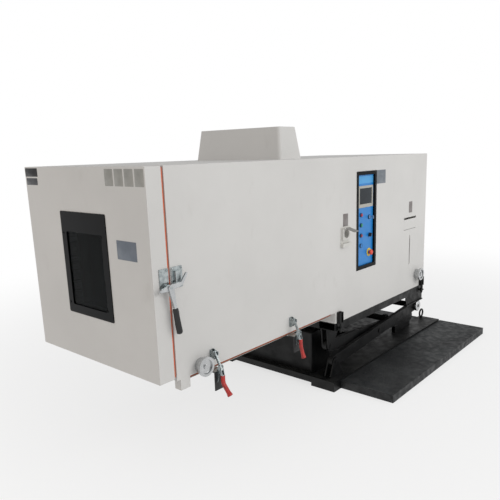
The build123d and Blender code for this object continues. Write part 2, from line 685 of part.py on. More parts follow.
# Stainless liner of the test section, open to the door and to the floor panel, with the air baffle
liner_start_x = body_front_x + frame_plate
liner_half_width = space_half_width + sheet
liner_top = space_top + sheet
baffle_bottom = space_floor + 60
baffle_top = space_top - 50
with BuildPart() as inner_liner:
    with Locations((liner_start_x, 0, body_bottom)):
        Box(liner_rear_x - liner_start_x, 2 * liner_half_width, liner_top - body_bottom,
            align=(Align.MIN, Align.CENTER, Align.MIN))
    offset(amount=-sheet, openings=[inner_liner.faces().sort_by(Axis.X)[0], inner_liner.faces().sort_by(Axis.Z)[0]])
    with Locations((liner_start_x, 0, body_bottom)):
        Box(sill_end_x - liner_start_x, 2 * liner_half_width, frame_plate, align=(Align.MIN, Align.CENTER, Align.MIN),
            mode=Mode.SUBTRACT)
    with BuildSketch(Plane.XZ) as sill:
        with BuildLine():
            Polyline((liner_start_x, space_floor), (sill_end_x, space_floor), (sill_end_x, body_bottom + frame_plate),
                     (sill_end_x - sheet, body_bottom + frame_plate), (sill_end_x - sheet, space_floor - sheet),
                     (liner_start_x, space_floor - sheet), close=True)
        make_face()
    extrude(amount=space_half_width, both=True)
    with Locations((fan_x, 0, liner_top)):
        Hole(shaft_hole_radius, depth=10)
    with BuildSketch(Plane.YZ.offset(baffle_x)) as baffle:
        with Locations((0, baffle_bottom)):
            Rectangle(2 * space_half_width - 0.2, baffle_top - baffle_bottom, align=(Align.CENTER, Align.MIN))
    extrude(amount=-sheet)
save(inner_liner, "inner_liner")

# Insulation between liner and casing, the block under the sill and the one inside the floor panel
plug_start_x = sill_end_x + 2
plug_end_x = liner_rear_x - sheet - 4
plug_half_width = space_half_width - 4
with BuildPart() as insulation:
    with BuildSketch(Plane.XZ.offset(inner_half_width)) as insulation_block:
        with BuildLine():
            Polyline((liner_start_x, body_bottom + frame_plate), (sill_end_x, body_bottom + frame_plate),
                     (sill_end_x, body_bottom), (bulkhead_x - sheet, body_bottom),
                     (bulkhead_x - sheet, body_top - sheet), (liner_start_x, body_top - sheet), close=True)
        make_face()
    extrude(amount=-2 * inner_half_width)
    with Locations((liner_start_x, 0, body_bottom)):
        Box(liner_rear_x - liner_start_x, 2 * liner_half_width, liner_top - body_bottom,
            align=(Align.MIN, Align.CENTER, Align.MIN), mode=Mode.SUBTRACT)
    with Locations((fan_x, 0, body_top - sheet)):
        Hole(shaft_hole_radius, depth=insulation_thickness + 10)
    with Locations((liner_start_x, 0, body_bottom + frame_plate)):
        Box(sill_end_x - sheet - liner_start_x, 2 * space_half_width, space_floor - sheet - body_bottom - frame_plate,
            align=(Align.MIN, Align.CENTER, Align.MIN))
    with Locations(((plug_start_x + plug_end_x) / 2, 0, flange_top)):
        Box(plug_end_x - plug_start_x - 2 * sheet, 2 * plug_half_width - 2 * sheet, space_floor - sheet - flange_top,
            align=(Align.CENTER, Align.CENTER, Align.MIN))
save(insulation, "insulation")


def side_plane(x):
    """Plane across the body at x: local x is the distance out of the control side, y the height over its underside."""
    return Plane(origin=(x, -half_width, body_bottom), x_dir=(0, -1, 0), z_dir=(-1, 0, 0))


# Floor panel: the insulated plug with its flange, and the brackets that carry the toggle clamps
clamp_x = [door_face_x + position for position in clamp_positions]
ear_inner = 10.0
ear_thickness = 3.0
bracket_plate = 6.0
bracket_out = 48.0
bracket_half_width = 30.0
flange_drop = body_bottom - flange_bottom
with BuildPart() as floor_panel:
    with Locations(((plug_start_x + plug_end_x) / 2, 0, flange_top)):
        Box(plug_end_x - plug_start_x, 2 * plug_half_width, space_floor - flange_top,
            align=(Align.CENTER, Align.CENTER, Align.MIN))
    offset(amount=-sheet, openings=floor_panel.faces().sort_by(Axis.Z)[0])
    with BuildSketch(Plane.XY.offset(flange_bottom)) as flange:
        with Locations(((seal_start_x + seal_end_x) / 2, 0)):
            Rectangle(seal_end_x - seal_start_x, 2 * inner_half_width)
    extrude(amount=flange_thickness)
    for x in clamp_x:
        with BuildSketch(side_plane(x)) as clamp_bracket:
            with BuildLine():
                Polyline((-60, -flange_drop), (bracket_out, -flange_drop), (bracket_out, -118),
                         (bracket_out - bracket_plate, -118), (bracket_out - bracket_plate, -flange_drop - bracket_plate),
                         (-60, -flange_drop - bracket_plate), close=True)
            make_face()
        extrude(amount=bracket_half_width, both=True)
        for start in (x + ear_inner + ear_thickness, x - ear_inner):
            with BuildSketch(side_plane(start)) as ear:
                with Locations((clamp_pivot_out, clamp_pivot_height)):
                    Circle(9)
                with Locations((bracket_out - 3, -45)):
                    Rectangle(6, 60)
                make_hull()
            extrude(amount=ear_thickness)
        for start in (x + ear_inner + 1, x - 5.5):
            with BuildSketch(side_plane(start)) as rivet:
                with Locations((clamp_pivot_out, clamp_pivot_height)):
                    Circle(clamp_pin_radius)
            extrude(amount=ear_inner + 1 - 5.5)
save(floor_panel, "floor_panel")

# Silicone seal between the floor panel's flange and the body
seal_inner_start_x = seal_start_x + 36
seal_inner_end_x = liner_rear_x + 4
with BuildPart() as floor_seal:
    with BuildSketch(Plane.XY.offset(flange_top)) as floor_seal_ring:
        with Locations(((seal_start_x + seal_end_x) / 2, 0)):
            Rectangle(seal_end_x - seal_start_x, 2 * (half_width - 1))
        with Locations(((seal_inner_start_x + seal_inner_end_x) / 2, 0)):
            Rectangle(seal_inner_end_x - seal_inner_start_x, 2 * (space_half_width + 10), mode=Mode.SUBTRACT)
    extrude(amount=seal_thickness)
save(floor_seal, "floor_seal")

# Toggle clamps: a handle on two rivets, and a draw bar on a crank pin just past the dead centre
dead_centre = degrees(atan2(clamp_pivot_height - catch_pin_height, clamp_pivot_out - catch_pin_out))
crank_angle = radians(dead_centre - 8)
crank_out = clamp_pivot_out + clamp_crank * cos(crank_angle)
crank_height = clamp_pivot_height + clamp_crank * sin(crank_angle)
bar_length = hypot(crank_out - catch_pin_out, catch_pin_height - crank_height)
bar_angle = degrees(atan2(catch_pin_height - crank_height, catch_pin_out - crank_out))
bar_half_width = 5.0
handle_inner = 6.0
handle_plate = 3.0
crank_pin_radius = 3.0
grip_flares = (40.0, 16.0)


def toggle_clamp(x, flare, suffix):
    """One toggle clamp at x: handle and draw bar as two nodes."""
    knee = (76, -77)
    grip_end = (knee[0] + 68 * sin(radians(flare)), knee[1] - 68 * cos(radians(flare)))
    with BuildPart() as clamp_handle:
        for start in (x + handle_inner + handle_plate, x - handle_inner):
            with BuildSketch(side_plane(start)) as handle_side:
                with Locations((clamp_pivot_out, clamp_pivot_height)):
                    Circle(9)
                with Locations((crank_out, crank_height)):
                    Circle(8)
                with Locations((75, -38)):
                    Circle(7)
                make_hull()
                with Locations((clamp_pivot_out, clamp_pivot_height)):
                    Circle(clamp_pin_radius + running_fit, mode=Mode.SUBTRACT)
            extrude(amount=handle_plate)
        with BuildSketch(side_plane(x)) as crank_pin:
            with Locations((crank_out, crank_height)):
                Circle(crank_pin_radius)
        extrude(amount=handle_inner + 1, both=True)
        with BuildSketch(side_plane(x)) as upper_grip:
            with Locations((75, -36)):
                Circle(6)
            with Locations(knee):
                Circle(7)
            make_hull()
        extrude(amount=handle_inner + handle_plate, both=True)
        with BuildSketch(side_plane(x)) as lower_grip:
            with Locations(knee):
                Circle(7)
            with Locations(grip_end):
                Circle(7)
            make_hull()
        extrude(amount=handle_inner + handle_plate, both=True)
    save(clamp_handle, f"clamp_handle_{suffix}")
    with BuildPart() as draw_bar:
        with BuildSketch(side_plane(x)) as bar_outline:
            with Locations((crank_out, crank_height)):
                Circle(7)
            with Locations((catch_pin_out, catch_pin_height)):
                Circle(5)
            make_hull()
            with Locations((crank_out, crank_height)):
                Circle(crank_pin_radius + running_fit, mode=Mode.SUBTRACT)
        extrude(amount=bar_half_width, both=True)
        with BuildSketch(side_plane(x)) as cross_pin:
            with Locations((catch_pin_out, catch_pin_height)):
                Circle(clamp_pin_radius)
        extrude(amount=14, both=True)
    save(draw_bar, f"draw_bar_{suffix}")


toggle_clamp(clamp_x[0], grip_flares[0], "front")
toggle_clamp(clamp_x[1], grip_flares[1], "middle")

# Catches on the body: a forked seat above each toggle clamp, and the keeper of the door latch
seat_slope = radians(18)
seat_reach = clamp_pin_radius + 0.1
seat_out = catch_pin_out + seat_reach * sin(seat_slope)
seat_height = catch_pin_height - seat_reach * cos(seat_slope)
seat_end = 40.0
upright_out = catch_pin_out - clamp_pin_radius - 3
latch_z = body_bottom + latch_height
keeper_x = body_front_x + 37.5
keeper_z = latch_z + 36
with BuildPart() as body_catches:
    for x in clamp_x:
        with BuildSketch(side_plane(x)) as catch_base:
            with Locations((0, catch_pin_height - 20)):
                Rectangle(3, 58, align=(Align.MIN, Align.CENTER))
        extrude(amount=15, both=True)
        for start in (x + 12, x - 7):
            with BuildSketch(side_plane(start)) as catch_arm:
                with BuildLine():
                    Polyline((2, catch_pin_height - 49), (14, catch_pin_height - 49), (seat_end, seat_height - 14),
                             (seat_end, seat_height + (seat_end - seat_out) * sin(seat_slope) / cos(seat_slope)),
                             (upright_out, seat_height - (seat_out - upright_out) * sin(seat_slope) / cos(seat_slope)),
                             (upright_out, catch_pin_height + 9), (2, catch_pin_height + 9), close=True)
                make_face()
            extrude(amount=5)
    with BuildSketch(Plane.XZ.offset(half_width)) as keeper_plate:
        with Locations((keeper_x, keeper_z)):
            RectangleRounded(67, latch_plate_height - 16, 4)
    extrude(amount=latch_plate_thickness)
    with BuildSketch(Plane.XZ.offset(half_width + latch_plate_thickness)) as keeper_block:
        with Locations((keeper_x - 4, keeper_z + 6)):
            RectangleRounded(34, 58, 5)
    extrude(amount=13, taper=8)
save(body_catches, "body_catches")

# Lifting trunnions: flanged round pads low on both sides, two on the test section and two on the machine section
trunnion_x = (door_face_x + 262, door_face_x + 2800)
trunnion_z = body_bottom + 35
trunnion_radius = 52.0
trunnion_proud = 50.0
with BuildPart() as lifting_trunnions:
    for x in trunnion_x:
        with BuildSketch(Plane(origin=(x, -half_width, trunnion_z), x_dir=(1, 0, 0), z_dir=(0, 0, 1))) as trunnion_section:
            with BuildLine():
                Polyline((0, 0), (trunnion_radius - 12, 0), (trunnion_radius - 12, -trunnion_proud + 14),
                         (trunnion_radius, -trunnion_proud + 14), (trunnion_radius, -trunnion_proud),
                         (trunnion_radius - 14, -trunnion_proud), (trunnion_radius - 16, -trunnion_proud + 8),
                         (14, -trunnion_proud + 8), (14, -trunnion_proud + 1), (0, -trunnion_proud + 1), close=True)
            make_face()
        revolve(axis=Axis((x, -half_width, trunnion_z), (0, 1, 0)))
    mirror(about=Plane.XZ)
save(lifting_trunnions, "lifting_trunnions")

# Circulation fan: its motor on the roof under the hood, the shaft and the impeller behind the baffle
motor_radius = 75.0
impeller_radius = 92.0
impeller_top = space_top - 22
impeller_height = 62.0
with BuildPart() as fan_motor:
    with BuildSketch(Plane.XY.offset(body_top)) as motor_flange:
        with Locations((fan_x, 0)):
            RectangleRounded(180, 180, 20)
    extrude(amount=8)
    with BuildSketch(Plane.XY.offset(body_top + 8)) as motor_body:
        with Locations((fan_x, 0)):
            Circle(motor_radius - 5)
            with PolarLocations(motor_radius - 4, 20):
                Rectangle(8, 3)
    extrude(amount=120)
    with BuildSketch(Plane.XY.offset(body_top + 128)) as motor_cowl:
        with Locations((fan_x, 0)):
            Circle(motor_radius)
    extrude(amount=34)
    fillet(fan_motor.edges().filter_by(GeomType.CIRCLE).sort_by(Axis.Z)[-1], radius=12)
    with BuildSketch(Plane.XY.offset(body_top)) as motor_bore:
        with Locations((fan_x, 0)):
            Circle(fan_shaft_radius + running_fit)
    extrude(amount=70, mode=Mode.SUBTRACT)
save(fan_motor, "fan_motor")

with BuildPart() as circulation_fan:
    with BuildSketch(Plane.XY.offset(impeller_top - impeller_height - 6)) as fan_shaft:
        with Locations((fan_x, 0)):
            Circle(fan_shaft_radius)
    extrude(amount=body_top + 60 - impeller_top + impeller_height + 6)
    with BuildSketch(Plane.XY.offset(impeller_top)) as back_plate:
        with Locations((fan_x, 0)):
            Circle(impeller_radius)
    extrude(amount=-2)
    with BuildSketch(Plane.XY.offset(impeller_top)) as hub:
        with Locations((fan_x, 0)):
            Circle(20)
    extrude(amount=-impeller_height)
    with BuildSketch(Plane.XY.offset(impeller_top - 1)) as impeller_blades:
        with Locations((fan_x, 0)):
            with PolarLocations(impeller_radius - 16, 14):
                with Locations(Rotation(0, 0, 35)):
                    Rectangle(36, 2)
    extrude(amount=-impeller_height + 2)
    with BuildSketch(Plane.XY.offset(impeller_top - impeller_height)) as inlet_ring:
        with Locations((fan_x, 0)):
            Circle(impeller_radius)
            Circle(impeller_radius - 32, mode=Mode.SUBTRACT)
    extrude(amount=2)
save(circulation_fan, "circulation_fan")

# Evaporator in the air duct: end plates, fins and the two rails that carry it
coil_half_width = space_half_width - 50
coil_depth = 160.0
coil_height = 200.0
heater_z = impeller_top - impeller_height - 196
coil_bottom = heater_z - 110 - coil_height
fin_thickness = 1.5
with BuildPart() as evaporator:
    with BuildSketch(Plane.XY.offset(coil_bottom)) as coil_fins:
        with Locations((fan_x, 0)):
            with GridLocations(1, 2 * coil_half_width / 20, 1, 21):
                Rectangle(coil_depth, fin_thickness)
    extrude(amount=coil_height)
    for offset_x in (-coil_depth / 2 + 10, coil_depth / 2 - 10):
        with Locations((fan_x + offset_x, 0, coil_bottom)):
            Box(20, 2 * space_half_width - 0.2, 10, align=(Align.CENTER, Align.CENTER, Align.MAX))
    with Locations((fan_x, 0, coil_bottom + coil_height)):
        Box(coil_depth, 2 * coil_half_width + fin_thickness, 2, align=(Align.CENTER, Align.CENTER, Align.MIN))
save(evaporator, "evaporator")

# Heater rods above the evaporator, three hairpins fixed to the control side of the duct
rod_bend = 22.0
heater_radius = 6.0
with BuildPart() as heater_rods:
    for offset_x in (-50, 0, 50):
        with BuildSketch(Plane.XZ.offset(space_half_width - 0.1)) as heater_ends:
            with Locations((fan_x + offset_x, heater_z - rod_bend), (fan_x + offset_x, heater_z + rod_bend)):
                Circle(heater_radius)
        extrude(amount=-(space_half_width + coil_half_width - 20))
        with BuildSketch(Plane.XZ.offset(-coil_half_width + 20.1)) as heater_bend:
            with Locations((fan_x + offset_x, heater_z + rod_bend)):
                Circle(heater_radius)
        revolve(axis=Axis((fan_x + offset_x, coil_half_width - 20.1, heater_z), (1, 0, 0)), revolution_arc=-180)
save(heater_rods, "heater_rods")

# Machine section: two hermetic compressors on the pan
compressor_radius = 100.0
compressor_height = 330.0
compressor_pitch = 260.0
compressor_x = (skirt_x + 265, skirt_x + 265 + compressor_pitch)
compressor_y = 230.0
with BuildPart() as compressors:
    for x in compressor_x:
        with BuildSketch(Plane(origin=(x, compressor_y, body_bottom), x_dir=(1, 0, 0), z_dir=(0, -1, 0))) as shell_half:
            with BuildLine():
                Polyline((0, 14), (compressor_radius - 20, 14), (compressor_radius, 60), (compressor_radius, 190),
                         (compressor_radius + 6, 190), (compressor_radius + 6, 202), (compressor_radius, 202),
                         (compressor_radius, compressor_height - 50), (compressor_radius - 30, compressor_height),
                         (0, compressor_height), close=True)
            make_face()
        revolve(axis=Axis((x, compressor_y, body_bottom), (0, 0, 1)))
        with BuildSketch(Plane.XY.offset(body_bottom)) as compressor_feet:
            with Locations((x, compressor_y)):
                RectangleRounded(200, 200, 20)
                Circle(60, mode=Mode.SUBTRACT)
        extrude(amount=16)
save(compressors, "compressors")

# Condenser behind the louvres: a frame of sheet with its fins, and the spider with the fan motor
condenser_x = body_rear_x - 85
condenser_depth = 90.0
condenser_half_width = inner_half_width - 98
condenser_height = 700.0
condenser_fan_radius = 185.0
condenser_fan_z = body_bottom + 20 + condenser_height / 2
spider_x = condenser_x - condenser_depth / 2
with BuildPart() as condenser:
    with Locations((condenser_x, 0, body_bottom)):
        Box(condenser_depth, 2 * condenser_half_width, condenser_height + 20, align=(Align.CENTER, Align.CENTER, Align.MIN))
        Box(condenser_depth + 2, 2 * condenser_half_width - 6, condenser_height + 14,
            align=(Align.CENTER, Align.CENTER, Align.MIN), mode=Mode.SUBTRACT)
    with BuildSketch(Plane.XY.offset(body_bottom)) as condenser_feet:
        with Locations((condenser_x, 0)):
            with GridLocations(condenser_depth - 12, 1, 2, 1):
                Rectangle(12, 2 * condenser_half_width)
    extrude(amount=6)
    with BuildSketch(Plane.XY.offset(body_bottom + 5)) as condenser_fins:
        with Locations((condenser_x + 10, 0)):
            with GridLocations(1, 2 * condenser_half_width / 22, 1, 21):
                Rectangle(condenser_depth - 26, fin_thickness)
    extrude(amount=condenser_height + 10)
    with BuildSketch(Plane.YZ.offset(spider_x)) as spider:
        with Locations((0, condenser_fan_z)):
            Rectangle(2 * condenser_half_width - 1, 24)
            Circle(56)
            Rectangle(24, condenser_height)
    extrude(amount=5)
    with BuildSketch(Plane.YZ.offset(spider_x)) as small_motor:
        with Locations((0, condenser_fan_z)):
            Circle(50)
            Circle(6 + running_fit, mode=Mode.SUBTRACT)
    extrude(amount=-50)
save(condenser, "condenser")

with BuildPart() as condenser_fan:
    with BuildSketch(Plane.YZ.offset(spider_x - 60)) as condenser_hub:
        with Locations((0, condenser_fan_z)):
            Circle(45)
    extrude(amount=-36)
    for blade in range(5):
        turn = radians(72 * blade)
        blade_plane = Plane(origin=(spider_x - 78, -40 * sin(turn), condenser_fan_z + 40 * cos(turn)),
                            x_dir=(cos(radians(32)), sin(radians(32)) * cos(turn), sin(radians(32)) * sin(turn)),
                            z_dir=(0, -sin(turn), cos(turn)))
        with BuildSketch(blade_plane) as blade_section:
            RectangleRounded(56, 3, 1.2)
        extrude(amount=condenser_fan_radius - 40)
    with BuildSketch(Plane.YZ.offset(spider_x - 60)) as condenser_shaft:
        with Locations((0, condenser_fan_z)):
            Circle(6)
    extrude(amount=55)
save(condenser_fan, "condenser_fan")

# Electrical cabinet behind the control panel, open to it, with rows of devices on its back wall
cabinet_width = 350.0
cabinet_depth = 178.0
cabinet_height = 760.0
with BuildPart() as electrical_box:
    with Locations((panel_x, -inner_half_width, panel_z)):
        Box(cabinet_width, cabinet_depth, cabinet_height, align=(Align.CENTER, Align.MIN, Align.CENTER))
    offset(amount=-sheet, openings=electrical_box.faces().sort_by(Axis.Y)[0])
    with BuildSketch(Plane.XZ.offset(inner_half_width - cabinet_depth + sheet)) as device_rows:
        with Locations((panel_x, panel_z)):
            with GridLocations(1, 220, 1, 3):
                Rectangle(300, 35)
    extrude(amount=8)
    with BuildSketch(Plane.XZ.offset(inner_half_width - cabinet_depth + sheet + 7)) as devices:
        with Locations((panel_x, panel_z)):
            with GridLocations(50, 220, 6, 3):
                Rectangle(44, 80)
    extrude(amount=65)
save(electrical_box, "electrical_box")

# Water tank with its filler box behind the flap, and the sight tube behind the slot in the side
tank_x = flap_x
tank_width = 220.0
tank_bottom = body_bottom + 130
tank_height = 270.0
tank_front_y = -inner_half_width + 16
tank_depth = 120.0
filler_bottom = flap_z - 14
filler_height = flap_height + finger_slot + 34
with BuildPart() as water_tank:
    with Locations((tank_x, tank_front_y, tank_bottom)):
        Box(tank_width, tank_depth, tank_height, align=(Align.CENTER, Align.MIN, Align.MIN))
    fillet(water_tank.edges().filter_by(Axis.Z), radius=14)
    with Locations((tank_x, tank_front_y + 4, tank_bottom + 4)):
        Box(tank_width - 8, tank_depth - 8, tank_height - 8, align=(Align.CENTER, Align.MIN, Align.MIN), mode=Mode.SUBTRACT)
    with Locations((tank_x, -inner_half_width, filler_bottom)):
        Box(tank_width + 20, 90, filler_height, align=(Align.CENTER, Align.MIN, Align.MIN))
        Box(tank_width + 14, 87, filler_height - 6, align=(Align.CENTER, Align.MIN, Align.MIN), mode=Mode.SUBTRACT)
    with Locations((tank_x, -inner_half_width, filler_bottom)):
        Box(tank_width + 20, 90, 3, align=(Align.CENTER, Align.MIN, Align.MIN))
    with BuildSketch(Plane.XY.offset(tank_bottom + tank_height - 4)) as filler_neck:
        with Locations((tank_x, -inner_half_width + 60)):
            Circle(26)
            Circle(22, mode=Mode.SUBTRACT)
    extrude(amount=filler_bottom + 3 - tank_bottom - tank_height + 4)
    with BuildSketch(Plane.XY.offset(tank_bottom + tank_height - 6)) as neck_bore:
        with Locations((tank_x, -inner_half_width + 60)):
            Circle(22)
    extrude(amount=filler_bottom - tank_bottom - tank_height + 10, mode=Mode.SUBTRACT)
    with BuildSketch(Plane.XY.offset(gauge_z - gauge_height / 2 + 6)) as sight_tube:
        with Locations((gauge_x, -inner_half_width + 6)):
            Circle(5)
            Circle(3.5, mode=Mode.SUBTRACT)
    extrude(amount=gauge_height - 12)
    for end_z in (gauge_z - gauge_height / 2 + 14, gauge_z + gauge_height / 2 - 14):
        with Locations((gauge_x, -inner_half_width + 1, end_z)):
            Box(14, 16, 14, align=(Align.CENTER, Align.MIN, Align.CENTER))
save(water_tank, "water_tank")

# Control panel: the bezel, the recessed plate with its collars and lock, and the touch screen
plate_front_y = -half_width + panel_recess
plate_front = half_width - panel_recess
bezel_opening = (bezel_width - 2 * bezel_margin, bezel_height - 2 * bezel_margin)
panel_clearance = 0.2
with BuildPart() as control_bezel:
    with BuildSketch(Plane.XZ.offset(half_width)) as bezel_face:
        with Locations((panel_x, panel_z)):
            RectangleRounded(bezel_width, bezel_height, 6)
            Rectangle(*bezel_opening, mode=Mode.SUBTRACT)
    extrude(amount=bezel_proud)
    with BuildSketch(Plane.XZ.offset(half_width)) as bezel_rim:
        with Locations((panel_x, panel_z)):
            Rectangle(bezel_body_width - 2 * panel_clearance, bezel_body_height - 2 * panel_clearance)
            Rectangle(*bezel_opening, mode=Mode.SUBTRACT)
    extrude(amount=-panel_recess)
save(control_bezel, "control_bezel")

left_column_x = panel_x - column_offset
right_column_x = panel_x + column_offset
button_places = {
    "stop_button": (left_column_x, panel_z + 43),
    "start_button": (left_column_x, panel_z - 31),
    "reset_button": (left_column_x, panel_z - 106),
}
lock_place = (left_column_x, panel_z - 180)
key_place = (right_column_x, panel_z + 19)
selector_place = (right_column_x, panel_z - 113)
estop_place = (right_column_x, panel_z - 243)
collar_radius = 15.0
collar_proud = 6.0
cup_depth = 30.0
stem_radius = 6.0
screen_z = panel_z + screen_rise
screen_body = (screen_width - 20, screen_height - 20)
with BuildPart() as control_plate:
    with BuildSketch(Plane.XZ.offset(plate_front)) as plate_outline:
        with Locations((panel_x, panel_z)):
            Rectangle(bezel_body_width - 2 * panel_clearance, bezel_body_height - 2 * panel_clearance)
        with Locations((panel_x, screen_z)):
            Rectangle(screen_body[0] + 1, screen_body[1] + 1, mode=Mode.SUBTRACT)
    extrude(amount=-panel_plate)
    with BuildSketch(Plane.XZ.offset(plate_front)) as collars:
        with Locations(*button_places.values(), lock_place, key_place):
            Circle(collar_radius)
    extrude(amount=collar_proud)
    with BuildSketch(Plane.XZ.offset(plate_front)) as estop_ring:
        with Locations(estop_place):
            Circle(30)
    extrude(amount=2)
    with BuildSketch(Plane.XZ.offset(plate_front)) as selector_ring:
        with Locations(selector_place):
            Circle(17)
    extrude(amount=3)
    with BuildSketch(Plane.XZ.offset(plate_front)) as contact_cups:
        with Locations(*button_places.values(), key_place, selector_place, estop_place):
            Circle(collar_radius - 1)
    extrude(amount=-cup_depth)
    with BuildSketch(Plane.XZ.offset(plate_front + collar_proud)) as button_bores:
        with Locations(*button_places.values()):
            Circle(button_radius + running_fit)
    extrude(amount=-(collar_proud + cup_depth - 6), mode=Mode.SUBTRACT)
    with BuildSketch(Plane.XZ.offset(plate_front + collar_proud)) as stem_bores:
        with Locations(key_place, selector_place, estop_place):
            Circle(stem_radius + running_fit)
    extrude(amount=-(collar_proud + cup_depth - 6), mode=Mode.SUBTRACT)
    with BuildSketch(Plane.XZ.offset(plate_front + collar_proud)) as keyway:
        with Locations(lock_place):
            Rectangle(2.5, 9)
    extrude(amount=-9, mode=Mode.SUBTRACT)
save(control_plate, "control_plate")

with BuildPart() as touch_screen:
    with BuildSketch(Plane.XZ.offset(plate_front)) as screen_frame:
        with Locations((panel_x, screen_z)):
            RectangleRounded(screen_width, screen_height, 5)
    extrude(amount=screen_depth)
    with BuildSketch(Plane.XZ.offset(plate_front + screen_depth)) as screen_glass:
        with Locations((panel_x, screen_z + 4)):
            Rectangle(screen_width - 36, screen_height - 42)
    extrude(amount=-1.5, mode=Mode.SUBTRACT)
    with BuildSketch(Plane.XZ.offset(plate_front)) as screen_housing:
        with Locations((panel_x, screen_z)):
            Rectangle(*screen_body)
    extrude(amount=-34)
save(touch_screen, "touch_screen")

# Push buttons with a domed cap, guided by the collars
for button_name, place in button_places.items():
    with BuildPart() as push_button:
        with BuildSketch(Plane.XZ.offset(plate_front + collar_proud + 5)) as cap:
            with Locations(place):
                Circle(button_radius)
        extrude(amount=-(collar_proud + 5 + 18))
        fillet(push_button.faces().sort_by(Axis.Y)[0].edges(), radius=2)
    save(push_button, button_name)

# Emergency stop with its mushroom head
with BuildPart() as e_stop:
    with BuildSketch(Plane(origin=(estop_place[0], -plate_front, estop_place[1]), x_dir=(1, 0, 0),
                           z_dir=(0, 0, 1))) as mushroom:
        with BuildLine():
            Polyline((0, 18), (stem_radius, 18), (stem_radius, -7), (14, -10), (14, -16), (20, -19), (20, -25))
            ThreePointArc((20, -25), (12.5, -29.6), (4, -31.8))
            Polyline((4, -31.8), (0, -31.8), (0, 18))
        make_face()
    revolve(axis=Axis((estop_place[0], -plate_front, estop_place[1]), (0, 1, 0)))
save(e_stop, "e_stop")

# Key in its lock, and the selector knob with its grip bar
with BuildPart() as key:
    with BuildSketch(Plane.XZ.offset(plate_front + collar_proud + 1)) as key_barrel:
        with Locations(key_place):
            Circle(stem_radius)
    extrude(amount=-20)
    with BuildSketch(Plane.YZ.offset(key_place[0])) as key_bow:
        with Locations((plate_front_y - collar_proud - 24, key_place[1])):
            RectangleRounded(18, 26, 7)
            Circle(3, mode=Mode.SUBTRACT)
        with Locations((plate_front_y - collar_proud - 8, key_place[1])):
            Rectangle(18, 8)
    extrude(amount=1.2, both=True)
save(key, "key")

with BuildPart() as selector:
    with BuildSketch(Plane.XZ.offset(plate_front + 4)) as knob_base:
        with Locations(selector_place):
            Circle(15)
    extrude(amount=8)
    with BuildSketch(Plane.XZ.offset(plate_front + 12)) as knob_bar:
        with Locations(selector_place):
            SlotOverall(28, 9, rotation=60)
    extrude(amount=11)
    with BuildSketch(Plane.XZ.offset(plate_front + 5)) as knob_stem:
        with Locations(selector_place):
            Circle(stem_radius)
    extrude(amount=-22)
save(selector, "selector")

# Socket box in the side, with its ledge and the round socket, and the flip lid that stands open
face_width = 92.0
face_height = 84.0
ledge_height = 26.0
face_z = socket_z + socket_height / 2 - face_height / 2 - 8
socket_radius = 30.0
with BuildPart() as socket_box:
    with BuildSketch(Plane.XZ.offset(half_width)) as socket_flange:
        with Locations((socket_x, socket_z)):
            RectangleRounded(socket_width, socket_height, 5)
    extrude(amount=3)
    with BuildSketch(Plane.XZ.offset(half_width)) as socket_face:
        with Locations((socket_x, face_z)):
            RectangleRounded(face_width, face_height, 5)
    extrude(amount=socket_depth)
    with BuildSketch(Plane.XZ.offset(half_width)) as ledge:
        with Locations((socket_x, socket_z - socket_height / 2 + ledge_height / 2)):
            RectangleRounded(socket_width, ledge_height, 4)
    extrude(amount=socket_depth + 6)
    with BuildSketch(Plane.XZ.offset(half_width)) as socket_body:
        with Locations((socket_x, socket_z)):
            Rectangle(socket_body_width - 2 * panel_clearance, socket_body_height - 2 * panel_clearance)
    extrude(amount=-48)
    with BuildSketch(Plane.XZ.offset(half_width + socket_depth)) as socket_well:
        with Locations((socket_x, face_z)):
            Circle(socket_radius)
    extrude(amount=-44, mode=Mode.SUBTRACT)
    lid_hinge_out = socket_depth + 6.5
    lid_hinge_z = face_z + face_height / 2 - 3
    for offset_x in (-34, 34):
        with BuildSketch(side_plane(socket_x + offset_x)) as lid_ear:
            with Locations((lid_hinge_out, lid_hinge_z - body_bottom)):
                Circle(5)
            with Locations((socket_depth - 4, lid_hinge_z - body_bottom - 2)):
                Rectangle(6, 10)
            make_hull()
        extrude(amount=4, both=True)
    with BuildSketch(side_plane(socket_x)) as lid_pin:
        with Locations((lid_hinge_out, lid_hinge_z - body_bottom)):
            Circle(2)
    extrude(amount=36, both=True)
save(socket_box, "socket_box")

lid_open = 75.0
lid_direction = (sin(radians(lid_open)), -cos(radians(lid_open)))
lid_length = 74.0
with BuildPart() as socket_lid:
    with BuildSketch(side_plane(socket_x)) as lid_profile:
        with BuildLine():
            hinge_point = Vector(lid_hinge_out, lid_hinge_z - body_bottom)
            along = Vector(*lid_direction)
            across = Vector(-lid_direction[1], lid_direction[0])
            Polyline(hinge_point + across * -1, hinge_point + along * lid_length - across,
                     hinge_point + along * lid_length + across * 3, hinge_point + across * 3, close=True)
        make_face()
        with Locations((lid_hinge_out, lid_hinge_z - body_bottom)):
            Circle(4.5)
        with Locations((lid_hinge_out, lid_hinge_z - body_bottom)):
            Circle(2 + running_fit, mode=Mode.SUBTRACT)
    extrude(amount=29, both=True)
save(socket_lid, "socket_lid")

# Water filling flap, rounded round its hinge line at the bottom
flap_radius = flap_thickness / 2
flap_hinge_z = flap_z + flap_gap + flap_radius
flap_length = flap_height - flap_gap
with BuildPart() as water_flap:
    with BuildSketch(side_plane(flap_x)) as flap_profile:
        with Locations((-flap_radius, flap_hinge_z - body_bottom)):
            Circle(flap_radius)
        with BuildLine():
            Polyline((-flap_thickness, flap_hinge_z - body_bottom), (0, flap_hinge_z - body_bottom),
                     (0, flap_z + flap_length - body_bottom), (-sheet, flap_z + flap_length - body_bottom),
                     (-flap_thickness, flap_hinge_z + 20 - body_bottom), close=True)
        make_face()
    extrude(amount=flap_width / 2 - flap_gap, both=True)
save(water_flap, "water_flap")

